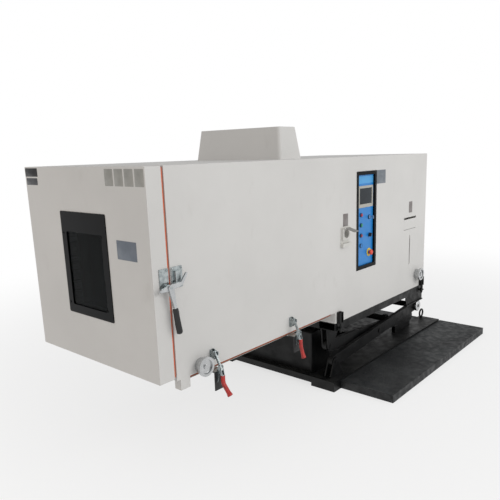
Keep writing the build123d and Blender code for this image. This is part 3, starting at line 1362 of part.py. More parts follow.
# Hinges at the far side of the door: body leaves with their pins
hinge_x = (door_back_x + body_front_x) / 2
hinge_y = half_width + hinge_offset_y
hinge_z = (body_bottom + hinge_low_height, body_top - hinge_top_drop)
knuckle_length = hinge_leaf_height / 3
with BuildPart() as hinge_blocks:
    for z in hinge_z:
        for knuckle_z in (z - knuckle_length, z + knuckle_length):
            with BuildSketch(Plane.XY.offset(knuckle_z - knuckle_length / 2)) as body_knuckle:
                with Locations((hinge_x, hinge_y)):
                    Circle(hinge_knuckle_radius)
                with BuildLine():
                    Polyline((hinge_x, hinge_y - hinge_knuckle_radius), (hinge_x + 18, half_width),
                             (hinge_x + 18 + hinge_leaf_length, half_width),
                             (hinge_x + 18 + hinge_leaf_length, half_width + hinge_leaf_thickness),
                             (hinge_x + 30, half_width + hinge_leaf_thickness),
                             (hinge_x + 8, hinge_y + 8), (hinge_x, hinge_y), close=True)
                make_face()
            extrude(amount=knuckle_length - hinge_gap)
        with BuildSketch(Plane.XY.offset(z - 1.5 * knuckle_length)) as body_leaf:
            with Locations((hinge_x + 18 + hinge_leaf_length / 2, half_width + hinge_leaf_thickness / 2)):
                Rectangle(hinge_leaf_length, hinge_leaf_thickness)
        extrude(amount=hinge_leaf_height - hinge_gap)
        with BuildSketch(Plane.XY.offset(z - 1.5 * knuckle_length - 3)) as hinge_pin:
            with Locations((hinge_x, hinge_y)):
                Circle(hinge_pin_radius)
        extrude(amount=hinge_leaf_height + 6)
save(hinge_blocks, "hinge_blocks")

# Door-side hinge leaves, and the latch plate with the stud that carries the lever
latch_x = door_back_x - 16
latch_plate_x = door_back_x - 27
lever_inner = latch_plate_thickness + latch_lever_standoff
with BuildPart() as door_fittings:
    for z in hinge_z:
        with BuildSketch(Plane.XY.offset(z - knuckle_length / 2 + 0.05)) as door_knuckle:
            with Locations((hinge_x, hinge_y)):
                Circle(hinge_knuckle_radius)
            with BuildLine():
                Polyline((hinge_x, hinge_y - hinge_knuckle_radius), (door_back_x - 4, half_width),
                         (door_back_x - 4 - hinge_leaf_length, half_width),
                         (door_back_x - 4 - hinge_leaf_length, half_width + hinge_leaf_thickness),
                         (hinge_x - 30, half_width + hinge_leaf_thickness),
                         (hinge_x - 8, hinge_y + 8), (hinge_x, hinge_y), close=True)
            make_face()
            with Locations((hinge_x, hinge_y)):
                Circle(hinge_pin_radius + running_fit, mode=Mode.SUBTRACT)
        extrude(amount=knuckle_length - hinge_gap - 0.1)
        with BuildSketch(Plane.XY.offset(z - 1.5 * knuckle_length)) as door_leaf:
            with Locations((door_back_x - 6 - hinge_leaf_length / 2, half_width + hinge_leaf_thickness / 2)):
                Rectangle(hinge_leaf_length - 4, hinge_leaf_thickness)
        extrude(amount=hinge_leaf_height - hinge_gap)
    with BuildSketch(Plane.XZ.offset(half_width)) as latch_plate:
        with Locations((latch_plate_x, keeper_z)):
            RectangleRounded(54, latch_plate_height - 16, 4)
    extrude(amount=latch_plate_thickness)
    with BuildSketch(Plane.XZ.offset(half_width)) as latch_boss:
        with Locations((latch_x, latch_z)):
            Circle(12)
    extrude(amount=lever_inner - 0.3)
    with BuildSketch(Plane.XZ.offset(half_width)) as latch_stud:
        with Locations((latch_x, latch_z)):
            Circle(latch_stud_radius)
    extrude(amount=lever_inner + latch_lever_thickness + 1)
save(door_fittings, "door_fittings")

# Latch lever: an arm that curls over the keeper, and a handle with a grip
curl_end = (body_front_x + 73, latch_z + 51)
curl_knee = (body_front_x + 40, latch_z + 8)
tail_end = (latch_x - 57, latch_z - 8)
handle_top = (latch_x + 18, latch_z - 96)
grip_top = (latch_x + 21, latch_z - 108)
grip_bottom = (latch_x + 36, latch_z - 232)
handle_out = half_width + lever_inner + latch_lever_thickness
grip_out = handle_out + 6
with BuildPart() as latch_lever:
    lever_plane = Plane.XZ.offset(half_width + lever_inner)
    lever_strips = [((tail_end, 6), ((latch_x, latch_z), 15)), (((latch_x, latch_z), 15), (curl_knee, 8)),
                    ((curl_knee, 8), (curl_end, 6))]
    for strip_start, strip_end in lever_strips:
        with BuildSketch(lever_plane) as strip:
            with Locations(strip_start[0]):
                Circle(strip_start[1])
            with Locations(strip_end[0]):
                Circle(strip_end[1])
            make_hull()
        extrude(amount=8)
    with BuildSketch(lever_plane) as handle_strip:
        with Locations((latch_x, latch_z)):
            Circle(15)
        with Locations(handle_top):
            Circle(8)
        make_hull()
    extrude(amount=latch_lever_thickness)
    grip_length = hypot(grip_bottom[0] - grip_top[0], grip_bottom[1] - grip_top[1])
    grip_direction = ((grip_bottom[0] - grip_top[0]) / grip_length, 0, (grip_bottom[1] - grip_top[1]) / grip_length)
    with BuildSketch(Plane(origin=(handle_top[0], -half_width - lever_inner - latch_lever_thickness / 2, handle_top[1]),
                           z_dir=grip_direction)) as tang:
        Circle(6)
    extrude(amount=40)
    with BuildSketch(Plane(origin=(grip_top[0], -half_width - lever_inner - latch_lever_thickness / 2, grip_top[1]),
                           z_dir=grip_direction)) as grip:
        Circle(13)
    extrude(amount=grip_length)
    with BuildSketch(lever_plane) as lever_bore:
        with Locations((latch_x, latch_z)):
            Circle(latch_stud_radius + running_fit)
    extrude(amount=latch_lever_thickness, mode=Mode.SUBTRACT)
save(latch_lever, "latch_lever")

# Door shell: a tray of sheet, open towards the body, with the cut-out for the window frame
frame_centre_z = body_bottom + window_centre_height
view_centre_z = body_bottom + window_view_centre_height
door_height = body_top - door_bottom
with BuildPart() as door_shell:
    with Locations((door_face_x, 0, door_bottom)):
        Box(door_thickness, body_width, door_height, align=(Align.MIN, Align.CENTER, Align.MIN))
    fillet(door_shell.edges().filter_by(Axis.X), radius=4)
    offset(amount=-sheet, openings=door_shell.faces().sort_by(Axis.X)[-1])
    with BuildSketch(Plane.YZ.offset(door_face_x)) as window_cutout:
        with Locations((0, frame_centre_z)):
            RectangleRounded(window_frame_width + 0.4, window_frame_height + 0.4, 8)
    extrude(amount=sheet, mode=Mode.SUBTRACT)
save(door_shell, "door_shell")

# Door liner: inner skin with its plug and the window tunnel
plug_half = space_half_width - door_plug_clearance
plug_bottom = space_floor + door_plug_clearance
plug_top = space_top - door_plug_clearance
plug_face_x = door_back_x + door_plug_depth
tunnel_width = window_width + 2 * window_rebate
tunnel_height = window_height + 2 * window_rebate
tunnel_start_x = door_face_x + sheet
with BuildPart() as door_liner:
    with BuildSketch(Plane.YZ.offset(door_back_x - sheet)) as inner_skin:
        with Locations((0, (door_bottom + body_top) / 2)):
            RectangleRounded(2 * inner_half_width, door_height - 2 * sheet, 2)
        with Locations((0, (plug_bottom + plug_top) / 2)):
            Rectangle(2 * plug_half - 2 * sheet, plug_top - plug_bottom - 2 * sheet, mode=Mode.SUBTRACT)
    extrude(amount=sheet)
    with BuildSketch(Plane.YZ.offset(door_back_x - sheet)) as plug_walls:
        with Locations((0, (plug_bottom + plug_top) / 2)):
            Rectangle(2 * plug_half, plug_top - plug_bottom)
            Rectangle(2 * plug_half - 2 * sheet, plug_top - plug_bottom - 2 * sheet, mode=Mode.SUBTRACT)
    extrude(amount=door_plug_depth + sheet)
    with BuildSketch(Plane.YZ.offset(plug_face_x)) as plug_face:
        with Locations((0, (plug_bottom + plug_top) / 2)):
            Rectangle(2 * plug_half, plug_top - plug_bottom)
        with Locations((0, view_centre_z)):
            Rectangle(window_width, window_height, mode=Mode.SUBTRACT)
    extrude(amount=-sheet)
    with BuildSketch(Plane.YZ.offset(tunnel_start_x)) as tunnel:
        with Locations((0, view_centre_z)):
            Rectangle(tunnel_width + 2 * sheet, tunnel_height + 2 * sheet)
            Rectangle(tunnel_width, tunnel_height, mode=Mode.SUBTRACT)
    extrude(amount=plug_face_x - tunnel_start_x)
save(door_liner, "door_liner")

# Door insulation round the window tunnel
with BuildPart() as door_insulation:
    with BuildSketch(Plane.YZ.offset(tunnel_start_x)) as door_block:
        with Locations((0, (door_bottom + body_top) / 2)):
            RectangleRounded(2 * inner_half_width, door_height - 2 * sheet, 2)
        with Locations((0, view_centre_z)):
            Rectangle(tunnel_width + 2 * sheet, tunnel_height + 2 * sheet, mode=Mode.SUBTRACT)
    extrude(amount=door_thickness - 2 * sheet)
    with BuildSketch(Plane.YZ.offset(door_back_x - sheet)) as plug_block:
        with Locations((0, (plug_bottom + plug_top) / 2)):
            Rectangle(2 * plug_half - 2 * sheet, plug_top - plug_bottom - 2 * sheet)
        with Locations((0, view_centre_z)):
            Rectangle(tunnel_width + 2 * sheet, tunnel_height + 2 * sheet, mode=Mode.SUBTRACT)
    extrude(amount=door_plug_depth)
save(door_insulation, "door_insulation")

# Silicone seal between door and body
seal_half = half_width - door_seal_inset
seal_door_top = body_top - door_seal_inset
seal_door_bottom = door_bottom + door_seal_inset
with BuildPart() as door_seal:
    with BuildSketch(Plane.YZ.offset(door_back_x)) as seal_ring:
        with Locations((0, (seal_door_top + seal_door_bottom) / 2)):
            RectangleRounded(2 * seal_half, seal_door_top - seal_door_bottom, 12)
            Rectangle(2 * (seal_half - door_seal_width), seal_door_top - seal_door_bottom - 2 * door_seal_width,
                      mode=Mode.SUBTRACT)
    extrude(amount=door_seal_thickness - 0.3)
save(door_seal, "door_seal")

# Window: frame plate on the door's face, and three panes in the tunnel
with BuildPart() as window_frame:
    with BuildSketch(Plane.YZ.offset(tunnel_start_x)) as frame_plate_outline:
        with Locations((0, frame_centre_z)):
            RectangleRounded(window_frame_width, window_frame_height, 8)
        with Locations((0, view_centre_z)):
            RectangleRounded(window_width, window_height, 10, mode=Mode.SUBTRACT)
    extrude(amount=-window_frame_thickness)
    chamfer(window_frame.faces().sort_by(Axis.X)[0].edges(), length=1)
save(window_frame, "window_frame")

pane_places = [tunnel_start_x + pane_fit, (tunnel_start_x + plug_face_x - pane_thickness) / 2,
               plug_face_x - sheet - pane_thickness - pane_fit]
with BuildPart() as window_glass:
    for pane_x in pane_places:
        with BuildSketch(Plane.YZ.offset(pane_x)) as pane:
            with Locations((0, view_centre_z)):
                Rectangle(tunnel_width - 2 * pane_fit, tunnel_height - 2 * pane_fit)
        extrude(amount=pane_thickness)
save(window_glass, "window_glass")
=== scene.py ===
from math import radians

import bmesh
import bpy
import numpy as np
from mathutils import Matrix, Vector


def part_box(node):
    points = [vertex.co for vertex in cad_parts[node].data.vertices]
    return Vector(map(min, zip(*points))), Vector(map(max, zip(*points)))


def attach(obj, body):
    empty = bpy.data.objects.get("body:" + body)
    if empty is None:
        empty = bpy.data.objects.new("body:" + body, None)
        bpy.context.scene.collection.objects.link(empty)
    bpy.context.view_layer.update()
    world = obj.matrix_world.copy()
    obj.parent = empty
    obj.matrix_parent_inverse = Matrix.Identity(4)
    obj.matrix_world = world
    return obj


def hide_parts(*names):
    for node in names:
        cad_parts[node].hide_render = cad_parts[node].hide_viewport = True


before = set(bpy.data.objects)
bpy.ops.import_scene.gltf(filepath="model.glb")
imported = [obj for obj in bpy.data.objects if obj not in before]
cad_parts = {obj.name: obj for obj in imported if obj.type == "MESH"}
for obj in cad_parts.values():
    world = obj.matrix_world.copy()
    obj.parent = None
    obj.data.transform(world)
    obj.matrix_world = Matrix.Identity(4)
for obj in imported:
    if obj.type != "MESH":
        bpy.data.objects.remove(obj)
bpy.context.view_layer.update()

# Base frame, arms, cylinder and top frame of the lift
# Steel channel, flat bar and square tube, welded and pinned, and sprayed with black paint. The paint is
# satin and nearly black, with a little dust lying on what faces up.


def shade(code):
    """Linear colour with full opacity from a screen colour written as six hex digits."""
    screen = np.array([int(code[i:i + 2], 16) for i in (0, 2, 4)]) / 255
    linear = np.where(screen <= 0.04045, screen / 12.92, ((screen + 0.055) / 1.055) ** 2.4)
    return (*linear.tolist(), 1.0)


def finish(name, colour, roughness, metal=0.0, even=()):
    """A material whose even values sit on its shader's own sockets; even gives more of them by name."""
    made = bpy.data.materials.new(name)
    made.use_nodes = True
    shader = made.node_tree.nodes["Principled BSDF"]
    values = {"Base Color": shade(colour), "Roughness": roughness, "Metallic": metal, **dict(even)}
    for socket, value in values.items():
        shader.inputs[socket].default_value = value
    return made


def node_of(made, kind, operation=None, **values):
    """A new node in the material; values are its sockets by name, or by number as n0, n1."""
    node = made.node_tree.nodes.new(kind)
    if operation:
        node.operation = operation
    for socket, value in values.items():
        place = int(socket[1:]) if socket[0] == "n" and socket[1:].isdigit() else socket
        if isinstance(value, bpy.types.NodeSocket):
            made.node_tree.links.new(value, node.inputs[place])
        else:
            node.inputs[place].default_value = value
    return node


def clouds(made, scale, stretch=(1, 1, 1), detail=4.0):
    """Noise from 0 to 1 on the piece's own place in metres: scale lumps to a metre, times stretch."""
    place = node_of(made, "ShaderNodeTexCoord").outputs["Object"]
    spread = node_of(made, "ShaderNodeMapping", Vector=place, Scale=stretch).outputs["Vector"]
    return node_of(made, "ShaderNodeTexNoise", Vector=spread, Scale=scale, Detail=detail).outputs["Fac"]


def ramp(made, factor, low, high, start=0.0, end=1.0):
    """Start where the factor is low, end where it is high, and a smooth passage between."""
    node = node_of(made, "ShaderNodeMapRange", n0=factor, n1=low, n2=high, n3=start, n4=end)
    node.interpolation_type = "SMOOTHSTEP"
    return node.outputs["Result"]


def times(made, first, second):
    """Product of two factors."""
    return node_of(made, "ShaderNodeMath", "MULTIPLY", n0=first, n1=second).outputs[0]


def colours(made, factor, first, second):
    """First colour where the factor is 0, second where it is 1; each is six hex digits or a socket."""
    node = made.node_tree.nodes.new("ShaderNodeMix")
    node.data_type = "RGBA"
    made.node_tree.links.new(factor, node.inputs[0])
    for place, colour in ((6, first), (7, second)):
        if isinstance(colour, str):
            node.inputs[place].default_value = shade(colour)
        else:
            made.node_tree.links.new(colour, node.inputs[place])
    return node.outputs[2]


def feed(made, socket, source):
    """Joins a socket of the material's shader to what drives it."""
    made.node_tree.links.new(source, made.node_tree.nodes["Principled BSDF"].inputs[socket])


def tint(made, factor, first, second):
    """The material's colour: first where the factor is 0, second where it is 1."""
    feed(made, "Base Color", colours(made, factor, first, second))


def roughen(made, scale, smooth, dull, low=0.3, high=0.7):
    """Roughness that goes from smooth to dull in cloudy patches, scale to a metre."""
    feed(made, "Roughness", ramp(made, clouds(made, scale), low, high, smooth, dull))


def relief(made, height, strength, depth):
    """Small relief of the surface: height from 0 to 1, depth in metres."""
    bump = node_of(made, "ShaderNodeBump", Height=height, Strength=strength, Distance=depth)
    feed(made, "Normal", bump.outputs["Normal"])


def grain(made, scale, strength, depth, detail=4.0):
    """Relief in fine lumps, scale to a metre."""
    relief(made, clouds(made, scale, detail=detail), strength, depth)


def facing_up(made):
    """1 where the surface faces up, 0 where it stands upright or faces down."""
    normal = node_of(made, "ShaderNodeTexCoord").outputs["Normal"]
    height = node_of(made, "ShaderNodeSeparateXYZ", Vector=normal).outputs["Z"]
    return ramp(made, height, 0.3, 0.9)


def dress(made, *nodes):
    """Gives a finish to CAD nodes."""
    for node in nodes:
        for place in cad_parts[node].material_slots:
            place.material = made


black_paint = finish("black_lift_paint", "1C1D1F", 0.42, even={"Specular IOR Level": 0.3})
dust = times(black_paint, facing_up(black_paint), ramp(black_paint, clouds(black_paint, 9), 0.35, 0.75))
streaks = ramp(black_paint, clouds(black_paint, 5, (1, 1, 0.3)), 0.5, 0.8, 0.0, 0.5)
tint(black_paint, dust, colours(black_paint, streaks, "08090A", "121213"), "262625")
roughen(black_paint, 14, 0.32, 0.6)
grain(black_paint, 420, 0.25, 0.0004)
dress(black_paint, "base_frame", "lift_brackets", "lifting_eyes", "power_pack", "outer_arms", "inner_arms",
      "cylinder_barrel", "lift_top_frame", "hold_down_clamps")

# Deck plates
# Folded steel trays beside the rails and a flat plate between them, painted black. They are walked on, so
# the top is grey with dust, wiped in long strokes and scuffed bare at places.
deck_paint = finish("dusty_deck_paint", "1E2022", 0.55)
patches = ramp(deck_paint, clouds(deck_paint, 2.6, (1, 1.4, 1), 6), 0.36, 0.68)
strokes = ramp(deck_paint, clouds(deck_paint, 16, (1.6, 0.35, 1), 5), 0.38, 0.72)
scuffs = ramp(deck_paint, clouds(deck_paint, 70, (1, 0.3, 1), 3), 0.62, 0.74, 0.0, 0.7)
trodden = times(deck_paint, facing_up(deck_paint), patches)
ground = colours(deck_paint, trodden, "17191B", "26292B")
wiped = colours(deck_paint, times(deck_paint, trodden, strokes), ground, "393B3B")
tint(deck_paint, times(deck_paint, scuffs, trodden), wiped, "524F4B")
roughen(deck_paint, 22, 0.42, 0.72)
grain(deck_paint, 260, 0.3, 0.0006)
dress(deck_paint, "deck_plates")

# Rollers, the cylinder's rod, the lifting trunnions and the key
# Turned and ground steel, greased, with the odd dull patch.
bright_steel = finish("bright_steel", "C2C3C4", 0.22, metal=1.0)
tint(bright_steel, clouds(bright_steel, 24), "A9ABAC", "D4D5D6")
roughen(bright_steel, 60, 0.14, 0.34)
grain(bright_steel, 900, 0.15, 0.0001)
dress(bright_steel, "upper_rollers", "lower_rollers", "cylinder_rod", "lifting_trunnions", "key")

# Chamber casing
# Folded steel sheet with an off-white powder coat: skirt, both sides, roof, back, hood, front frame, door
# and water flap. The coat has a fine orange peel, and faint smudges where it is handled.
white_coat = finish("off_white_powder_coat", "DAD8D4", 0.45)
broad = ramp(white_coat, clouds(white_coat, 1.3, detail=5), 0.3, 0.7)
smudge = ramp(white_coat, clouds(white_coat, 11, (1, 1, 0.5), 6), 0.58, 0.86, 0.0, 0.55)
tint(white_coat, smudge, colours(white_coat, broad, "DBDAD8", "D3D2D0"), "C9C7C4")
roughen(white_coat, 7, 0.46, 0.54)
grain(white_coat, 520, 0.12, 0.0003, detail=2)
dress(white_coat, "machine_skirt", "side_panel_control", "side_panel_back", "roof_panel", "rear_panel",
      "motor_hood", "front_frame", "door_shell", "water_flap")

# Test space
# Stainless liner with its sill, the door's liner and the heater rods. The sheet is ground in long fine
# lines along the chamber.


def brushed(made, scale, pull, smooth, dull):
    """Ground lines along x, pull times finer across: roughness goes from smooth to dull with them, and they
    stand out a little."""
    lines = clouds(made, scale, (0.5, pull, pull), 3)
    feed(made, "Roughness", ramp(made, lines, 0.25, 0.75, smooth, dull))
    relief(made, lines, 0.12, 0.0002)


stainless = finish("brushed_stainless", "B5B4B0", 0.3, metal=1.0)
tint(stainless, clouds(stainless, 5), "A8A7A3", "BFBEBB")
brushed(stainless, 30, 26, 0.22, 0.42)
dress(stainless, "inner_liner", "door_liner", "heater_rods")

# Floor panel
# The insulated plug under the test space, with a stainless flange. Each toggle clamp hangs on a bent
# bracket, painted black, with zinc-plated ears.


def inside(made, **spans):
    """1 in a box and 0 outside it: spans gives two limits in metres for each axis that counts."""
    place = node_of(made, "ShaderNodeTexCoord").outputs["Object"]
    parts = node_of(made, "ShaderNodeSeparateXYZ", Vector=place)
    result = None
    for axis, (low, high) in spans.items():
        near = node_of(made, "ShaderNodeMath", "COMPARE", n0=parts.outputs[axis.upper()],
                       n1=(low + high) / 2, n2=(high - low) / 2).outputs[0]
        result = near if result is None else times(made, result, near)
    return result


def either(made, first, second):
    """The larger of two factors, so 1 where one of them is 1."""
    return node_of(made, "ShaderNodeMath", "MAXIMUM", n0=first, n1=second).outputs[0]


floor_finish = finish("floor_panel_steel", "A9A8A4", 0.36, metal=1.0)
bracket = inside(floor_finish, y=(-0.7, -0.5402), z=(0.40, 0.5365))
ears = inside(floor_finish, y=(-0.7, -0.5882), z=(0.47, 0.6))
sheet_steel = colours(floor_finish, clouds(floor_finish, 6), "9D9B96", "B6B4B0")
tint(floor_finish, ears, colours(floor_finish, bracket, sheet_steel, "1D1E20"), "A3ACAE")
unpainted = ramp(floor_finish, bracket, 0, 1, 1, 0)
feed(floor_finish, "Metallic", either(floor_finish, ears, unpainted))
brushed(floor_finish, 24, 20, 0.28, 0.46)
dress(floor_finish, "floor_panel")

# Seals
# Moulded silicone: an orange-red bulb seal on the door, and a browner flat seal with a round edge between
# the body and the floor panel. Each is an outline carried round, and takes the place of its CAD ring.


def outline(width, height, radius, steps=6):
    """Rounded rectangle round the middle: at each of its points, the centre of the corner arc that it lies
    on, and the way out from it; a point is its centre plus radius times its way out."""
    angles = np.concatenate([np.linspace(0, np.pi / 2, steps) + turn * np.pi / 2 for turn in range(4)])
    out = np.stack([np.cos(angles), np.sin(angles)], -1)
    signs = np.repeat([(1, 1), (-1, 1), (-1, -1), (1, -1)], steps, axis=0)
    return signs * (np.array([width, height]) / 2 - radius), out


def set_at(flat, level, place):
    """Rings in space from outlines in a plane: the level of each is put in as coordinate number place."""
    height = np.broadcast_to(np.asarray(level)[:, None, None], (*flat.shape[:2], 1))
    return np.concatenate([flat[..., :place], height, flat[..., place:]], 2)


def build(name, shells, body, made, loop=False, sharp=38):
    """One piece from closed shells, each an array of rings: a face joins points j and j + 1 of ring i to
    those of ring i + 1, and the end rings are capped, or joined to each other where loop is set."""
    points, faces, start = [], [], 0
    for rings in shells:
        count, around = rings.shape[:2]
        here = np.arange(around)
        beside = np.roll(here, -1)
        row = np.arange(count if loop else count - 1)[:, None]
        low, high = start + row * around, start + (row + 1) % count * around
        sides = np.stack([low + here, low + beside, high + beside, high + here], -1)
        faces += sides.reshape(-1, 4).tolist()
        if not loop:
            faces += [(start + here[::-1]).tolist(), (start + (count - 1) * around + here).tolist()]
        points.append(rings.reshape(-1, 3))
        start += count * around
    mesh = bpy.data.meshes.new(name)
    mesh.from_pydata(np.concatenate(points).tolist(), [], faces)
    work = bmesh.new()
    work.from_mesh(mesh)
    bmesh.ops.remove_doubles(work, verts=work.verts, dist=2e-6)
    bmesh.ops.recalc_face_normals(work, faces=work.faces)
    work.to_mesh(mesh)
    work.free()
    mesh.shade_smooth()
    mesh.set_sharp_from_angle(angle=radians(sharp))
    mesh.materials.append(made)
    piece = bpy.data.objects.new(name, mesh)
    bpy.context.scene.collection.objects.link(piece)
    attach(piece, body)
    return piece


def silicone(name, colour, worn):
    """Moulded silicone: matt, a little uneven in colour, with fine dust in its grain."""
    made = finish(name, colour, 0.5)
    tint(made, ramp(made, clouds(made, 18), 0.4, 0.75), colour, worn)
    roughen(made, 40, 0.42, 0.62)
    grain(made, 700, 0.2, 0.0002)
    return made


seal_corner = 0.012
door_silicone = silicone("door_silicone", "D2613A", "C4704E")
seal_low, seal_high = (np.array(corner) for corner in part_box("door_seal"))
seal_size, seal_middle = seal_high - seal_low, (seal_low + seal_high) / 2
# Profile of the door's seal: how far out of its outline, and how far from the door's back.
bulb = np.array([(-0.030, 0.002), (-0.030, 0.0117), (-0.024, 0.0137), (-0.017, 0.0125), (-0.013, 0.0137),
                 (-0.005, 0.0137), (-0.001, 0.0112), (0.0, 0.0068), (-0.001, 0.0025), (-0.005, 0.0),
                 (-0.024, 0.0)])
centres, out = outline(seal_size[1], seal_size[2], seal_corner)
bulb_flat = seal_middle[1:] + centres + out * (seal_corner + bulb[:, :1, None])
bulb_rings = set_at(bulb_flat, seal_low[0] + bulb[:, 1], 0)
door_seal = build("door_bulb_seal", [bulb_rings], "door", door_silicone, loop=True)
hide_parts("door_seal")

floor_silicone = silicone("floor_silicone", "A35637", "8C4B33")
floor_low, floor_high = (np.array(corner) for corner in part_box("floor_seal"))
floor_size, floor_middle = floor_high - floor_low, (floor_low + floor_high) / 2
opening_less_long, opening_less_wide = 0.12, 0.198
# Profile of the floor's seal: its height, and how far out of its outline. Its inner edge is upright.
edge = np.array([(0.0, -0.004), (0.002, -0.0005), (0.005, 0.0), (0.008, -0.0005), (0.010, -0.004)])
inner_heights = (0.010, 0.0)
outer_centres, out = outline(floor_size[0], floor_size[1], seal_corner)
inner_size = floor_size[:2] - (opening_less_long, opening_less_wide)
inner_centres, out = outline(inner_size[0], inner_size[1], seal_corner)
outer_flat = floor_middle[:2] + outer_centres + out * (seal_corner + edge[:, 1:, None])
inner_flat = floor_middle[:2] + inner_centres + out * seal_corner
seal_flat = np.concatenate([outer_flat, np.stack([inner_flat] * len(inner_heights))])
seal_rings = set_at(seal_flat, floor_low[2] + np.array([*edge[:, 0], *inner_heights]), 2)
floor_seal = build("floor_flat_seal", [seal_rings], "chamber", floor_silicone, loop=True)
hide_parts("floor_seal")

# Insulation
# Glass wool slabs between casing and liner and in the door: yellow, dull and fibrous.
wool = finish("glass_wool", "C9B873", 0.95)
fibres = clouds(wool, 140, (0.3, 1, 1), 6)
tint(wool, fibres, "A8965A", "DCCB87")
relief(wool, fibres, 0.8, 0.002)
dress(wool, "insulation", "door_insulation")

# Window frame and control bezel
# Black painted sheet with a low gloss. The window's frame is held on the door's face by four domed
# screws, and the bezel is set in the control side.
frame_paint = finish("window_frame_black", "0D0E10", 0.16, even={"Specular IOR Level": 0.08})
tint(frame_paint, ramp(frame_paint, clouds(frame_paint, 5), 0.4, 0.7), "050608", "0B0C0E")
roughen(frame_paint, 12, 0.1, 0.24)
grain(frame_paint, 300, 0.05, 0.0002)
dress(frame_paint, "window_frame", "control_bezel")


def turned(centre, axis, profile, sides=32):
    """Rings round an axis: for each row of the profile, radius and distance, the circle of that radius at
    that distance along the axis from the centre."""
    axis = np.array(axis, float)
    across = np.cross(axis, (0.3, 0.2, 0.9))
    across /= np.linalg.norm(across)
    angles = np.arange(sides) * 2 * np.pi / sides
    spokes = np.cos(angles)[:, None] * across + np.sin(angles)[:, None] * np.cross(axis, across)
    profile = np.array(profile)
    return np.array(centre) + profile[:, :1, None] * spokes + profile[:, 1:, None] * axis


screw_head = [(0.0058, 0.0), (0.0058, 0.0008), (0.0050, 0.0020), (0.0032, 0.0028), (0.0019, 0.0029),
              (0.0015, 0.0014)]
out_of_door, out_of_side = (-1, 0, 0), (0, -1, 0)
frame_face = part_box("window_frame")[0][0]
frame_middle, frame_spread = np.array([0.014, 1.062]), np.array([0.174, 0.1915])
corner_signs = np.array([(side, level) for side in (-1, 1) for level in (-1, 1)])
frame_screws = [turned((frame_face, *place), out_of_door, screw_head)
                for place in frame_middle + corner_signs * frame_spread]
build("window_frame_screws", frame_screws, "door", frame_paint)

# Window panes
# Three panes of clear, slightly grey glass, one behind another in the door's tunnel.
pane = finish("window_pane", "7C888A", 0.03, even={"Transmission Weight": 1.0, "IOR": 1.1})
roughen(pane, 30, 0.02, 0.12, low=0.4, high=0.8)
dress(pane, "window_glass")

# Zinc-plated fittings
# Cast and pressed catches, hinges, draw bars and handle plates, slightly blue, dulled in places. The
# keeper and the latch plate are each held by four domed screws.
plated = finish("zinc_plate", "AEB6B8", 0.3, metal=1.0)
tint(plated, ramp(plated, clouds(plated, 55), 0.3, 0.7), "979FA1", "B5BCBD")
roughen(plated, 90, 0.2, 0.42)
grain(plated, 600, 0.2, 0.0002)
dress(plated, "body_catches", "draw_bar_front", "draw_bar_middle", "clamp_handle_front",
      "clamp_handle_middle", "hinge_blocks", "door_fittings")

plate_screw_y, plate_screw_z = -0.545, (1.031, 1.117)
for name, body, plate_x, spread in (("keeper_screws", "chamber", -2.2485, 0.027),
                                    ("latch_plate_screws", "door", -2.327, 0.016)):
    heads = [turned((x, plate_screw_y, z), out_of_side, screw_head)
             for x in (plate_x - spread, plate_x + spread) for z in plate_screw_z]
    build(name, heads, body, plated)

# Sleeves of the toggle clamps
# Dipped red vinyl over the end of each clamp's handle, bent with it at the knee and flared at the end.
# The front handle leans further out than the middle one.


def swept(path, across, halves, corner=0.5, sides=28):
    """Rings along a path that lies square to across: each point is the path's, plus cos(turn) times the
    first half size in the path's plane, plus sin(turn) times the second along across. Both waves keep
    their sign and are raised to the power of corner, which makes the round squarer below 1."""
    path, across, halves = np.array(path), np.array(across, float), np.array(halves)
    along = np.gradient(path, axis=0)
    along /= np.linalg.norm(along, axis=1)[:, None]
    beside = np.cross(across, along)
    angles = np.arange(sides) * 2 * np.pi / sides
    wave, rise = (np.sign(turn) * np.abs(turn) ** corner for turn in (np.cos(angles), np.sin(angles)))
    in_plane = halves[:, :1, None] * wave[:, None] * beside[:, None]
    return path[:, None] + in_plane + halves[:, 1:, None] * rise[:, None] * across


vinyl = finish("red_vinyl", "B52A24", 0.38)
tint(vinyl, ramp(vinyl, clouds(vinyl, 45), 0.35, 0.75), "BC2D27", "98241F")
roughen(vinyl, 80, 0.28, 0.5)
grain(vinyl, 600, 0.15, 0.0002)

handle_half_thickness, handle_half_width = 0.0070, 0.0090
knee_share, knee_reach = 0.35, 0.014
# Distances past the knee, and how far the vinyl stands out of the handle all along the sleeve.
past_knee = np.array([0.020, 0.036, 0.050, 0.060, 0.066, 0.071, 0.0755, 0.0765])[:, None]
swell = np.array([0.0012, 0.0020, *[0.0016] * 7, 0.0016, 0.0016, 0.0018, 0.0024, 0.0036, 0.0044, 0.0034,
                  0.0010])
sleeve_halves = np.stack([handle_half_thickness + swell, handle_half_width + swell], 1)
share = np.linspace(0, 1, 7)[:, None]
for suffix, x, flare in (("front", -2.045, 40), ("middle", -1.365, 16)):
    start, knee = np.array((x, -0.615, 0.514)), np.array((x, -0.616, 0.473))
    lean = np.array((0, -np.sin(radians(flare)), -np.cos(radians(flare))))
    # The bend is a quadratic curve, from a share of the way up the handle to a reach past the knee.
    first, last = knee + (start - knee) * knee_share, knee + lean * knee_reach
    bend = (1 - share) ** 2 * first + 2 * share * (1 - share) * knee + share ** 2 * last
    path = np.concatenate([[start + (0, 0, 0.002), start], bend, knee + lean * past_knee])
    build(f"clamp_sleeve_{suffix}", [swept(path, (1, 0, 0), sleeve_halves)], f"clamp_handle_{suffix}", vinyl)

# Latch lever and its grip
# A bright steel lever that pulls the door shut over the keeper, and a moulded black grip on its lower
# end, slightly curved towards the machine.
black_grip = finish("black_grip", "141517", 0.4)
tint(black_grip, clouds(black_grip, 30), "111214", "1D1E20")
roughen(black_grip, 60, 0.32, 0.5)
grain(black_grip, 800, 0.2, 0.0002)

